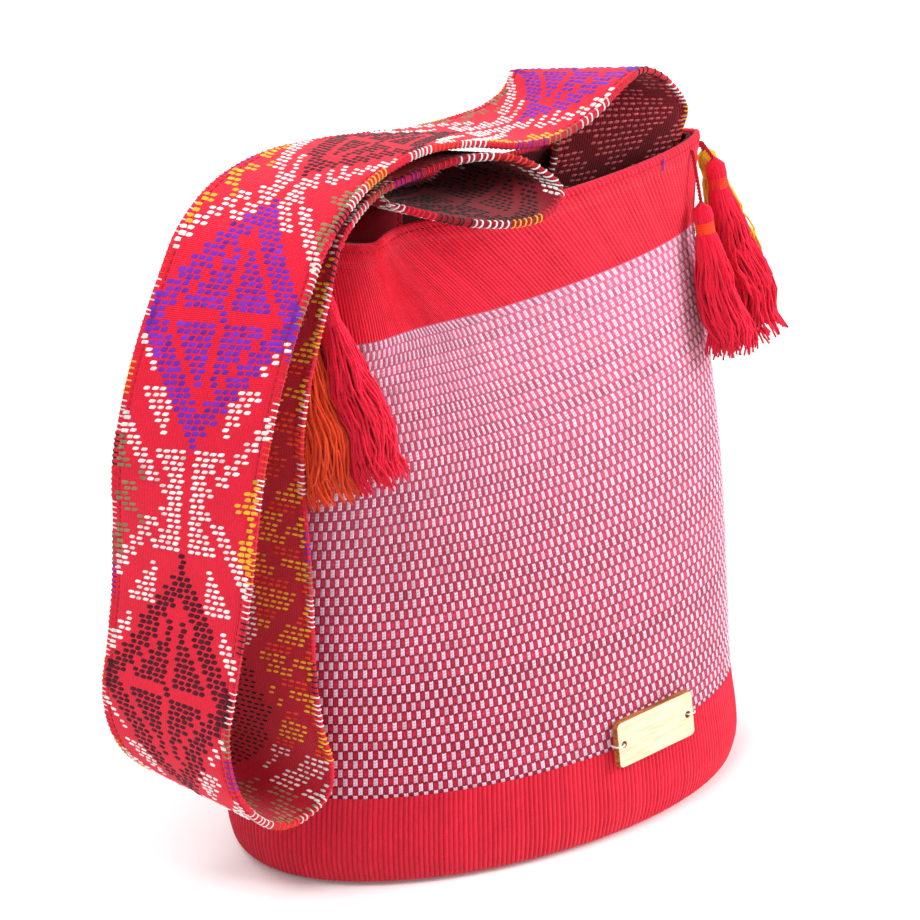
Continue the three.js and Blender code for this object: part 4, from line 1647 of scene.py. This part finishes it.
@dataclass
class Plate:
    """The bare wooden plate, its two ties and the loose tack thread.

    Attributes:
        edge_round: How far its edges are rounded, in millimetres.
        flat_angle: Faces that turn by less than this, in radians, become one.
        sharp_angle: Edges that turn by more than this are rounded.
        face_share: How nearly a face points as the widest one does to count as the plate's face.
    """

    edge_round: float = 0.35
    flat_angle: float = 0.02
    sharp_angle: float = 0.6
    face_share: float = 0.93

    def build(self, materials: Materials) -> None:
        """Makes and dresses them.

        Args:
            materials: Where the materials come from.
        """
        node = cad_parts["name_plate"]
        mesh = bpy.data.meshes.new("wooden_plate")
        shape = bmesh.new()
        shape.from_mesh(node.data)
        shape.transform(node.matrix_world)
        bmesh.ops.remove_doubles(shape, verts=shape.verts, dist=1e-6)
        bmesh.ops.dissolve_limit(shape, angle_limit=self.flat_angle, verts=shape.verts, edges=shape.edges)
        sharp = [
            edge for edge in shape.edges if edge.is_manifold and edge.calc_face_angle() > self.sharp_angle
        ]
        bmesh.ops.bevel(
            shape, geom=sharp, offset=self.edge_round * METRES, segments=2, affect="EDGES", profile=0.5
        )
        widest = max(shape.faces, key=lambda face: face.calc_area()).normal.copy()
        for face in shape.faces:
            face.smooth = True
            face.material_index = 0 if abs(face.normal.dot(widest)) > self.face_share else 1
        shape.to_mesh(mesh)
        shape.free()
        mesh.materials.append(materials.wood("plate_face", (248, 228, 198), (236, 208, 166)))
        mesh.materials.append(materials.wood("burnt_edge", (196, 122, 62), (120, 66, 30)))
        plate = bpy.data.objects.new("wooden_plate", mesh)
        bpy.context.scene.collection.objects.link(plate)
        plate.modifiers.new("weighted", "WEIGHTED_NORMAL")
        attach(plate, "bag")
        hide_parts("name_plate")
        threads = {"plate_tie_left": Dye.WHITE, "plate_tie_right": Dye.WHITE, "tack_thread": Dye.PURPLE}
        for name, shade in threads.items():
            dress(name, materials.thread(f"{name}_thread", shade.linear))


@dataclass
class Studio:
    """White surroundings with soft light, and the camera.

    Attributes:
        place: Where the camera stands, in metres.
        tilt: Its elevation and azimuth as turns about x and z, in degrees.
        lens: Its lens in millimetres, on a 36 mm sensor.
        lamps: Name, place, size and power of each lamp.
        aim: Height that the lamps point at.
        ambient: Strength of the light from all round.
        floor_reach: How far the floor runs each way.
        floor_level: Its height, just under the bag.
    """

    place: tuple[float, float, float] = (-0.7715, -1.0444, 0.7648)
    tilt: tuple[float, float] = (65.0, -36.0)
    lens: float = 132.07
    lamps: tuple = (
        ("key", (1.1, -0.95, 0.9), 0.9, 24.0),
        ("above", (-0.75, -0.2, 1.45), 0.9, 16.0),
        ("back", (-0.3, 1.2, 1.2), 0.8, 8.0),
    )
    aim: float = 0.15
    ambient: float = 0.4
    floor_reach: float = 12.0
    floor_level: float = -0.0004

    def build(self) -> None:
        """Makes the camera, the lamps, the floor and the world."""
        camera = bpy.data.objects.new("camera", bpy.data.cameras.new("camera"))
        camera.data.sensor_width, camera.data.lens = 36.0, self.lens
        camera.location = self.place
        camera.rotation_euler = (np.radians(self.tilt[0]), 0.0, np.radians(self.tilt[1]))
        bpy.context.scene.collection.objects.link(camera)
        bpy.context.scene.camera = camera
        for name, place, size, power in self.lamps:
            lamp = bpy.data.lights.new(name, "AREA")
            lamp.size, lamp.energy = size, power
            light = bpy.data.objects.new(name, lamp)
            light.location = place
            aim = Vector((0, 0, self.aim)) - Vector(place)
            light.rotation_euler = aim.to_track_quat("-Z", "Y").to_euler()
            bpy.context.scene.collection.objects.link(light)
        self._world()
        self._floor()

    def _world(self) -> None:
        """Makes a world that lights softly and looks white to the camera."""
        world = bpy.data.worlds.new("studio")
        bpy.context.scene.world = world
        world.use_nodes = True
        bench = Bench(world.node_tree)
        plain = world.node_tree.nodes["Background"]
        bench.fill(plain, {"Color": (1, 1, 1, 1), "Strength": self.ambient})
        seen = bench.add("Background", {"Color": (1, 1, 1, 1), "Strength": 1.0})
        mix = bench.add("MixShader", {0: bench.seen(), 1: plain.outputs[0], 2: seen.outputs[0]})
        bench.fill(world.node_tree.nodes["World Output"], {"Surface": mix.outputs[0]})

    def _floor(self) -> None:
        """Makes a white floor that keeps the bag's shadow, and is evenly white further out.

        Its glow in seen rays rises from 0.1 at 0.5 m from the middle to 0.75 at 1.4 m.
        """
        mesh = bpy.data.meshes.new("floor")
        corners = [(-1, -1), (1, -1), (1, 1), (-1, 1)]
        places = [(x * self.floor_reach, y * self.floor_reach, self.floor_level) for x, y in corners]
        mesh.from_pydata(places, [], [(0, 1, 2, 3)])
        material = bpy.data.materials.new("white_floor")
        material.use_nodes = True
        bench = Bench(material.node_tree)
        place = bench.add("TexCoord").outputs["Object"]
        away = bench.add("VectorMath", {0: place}, operation="LENGTH").outputs["Value"]
        glow = bench.ranged(away, 0.1, 0.75, 0.5, 1.4)
        inputs = {
            "Base Color": (0.95, 0.94, 0.95, 1),
            "Roughness": 0.9,
            "Specular IOR Level": 0.0,
            "Emission Color": (1, 1, 1, 1),
            "Emission Strength": bench.maths("MULTIPLY", bench.seen(), glow),
        }
        bench.fill(material.node_tree.nodes["Principled BSDF"], inputs)
        mesh.materials.append(material)
        floor = bpy.data.objects.new("floor", mesh)
        bpy.context.scene.collection.objects.link(floor)


def main() -> None:
    """Builds the bag, its light and its camera, and reports each piece."""
    logging.basicConfig(level=logging.INFO, format="%(message)s")
    scene = bpy.context.scene
    scene.view_settings.view_transform = "Standard"
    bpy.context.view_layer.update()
    Studio().build()
    materials = Materials()
    wall = Wall()
    BagCloth(wall).build(materials)
    Inside(wall).build(materials)
    Strap().build(materials)
    Tassels(wall).build(materials)
    Plate().build(materials)


if __name__ == "__main__":
    main()
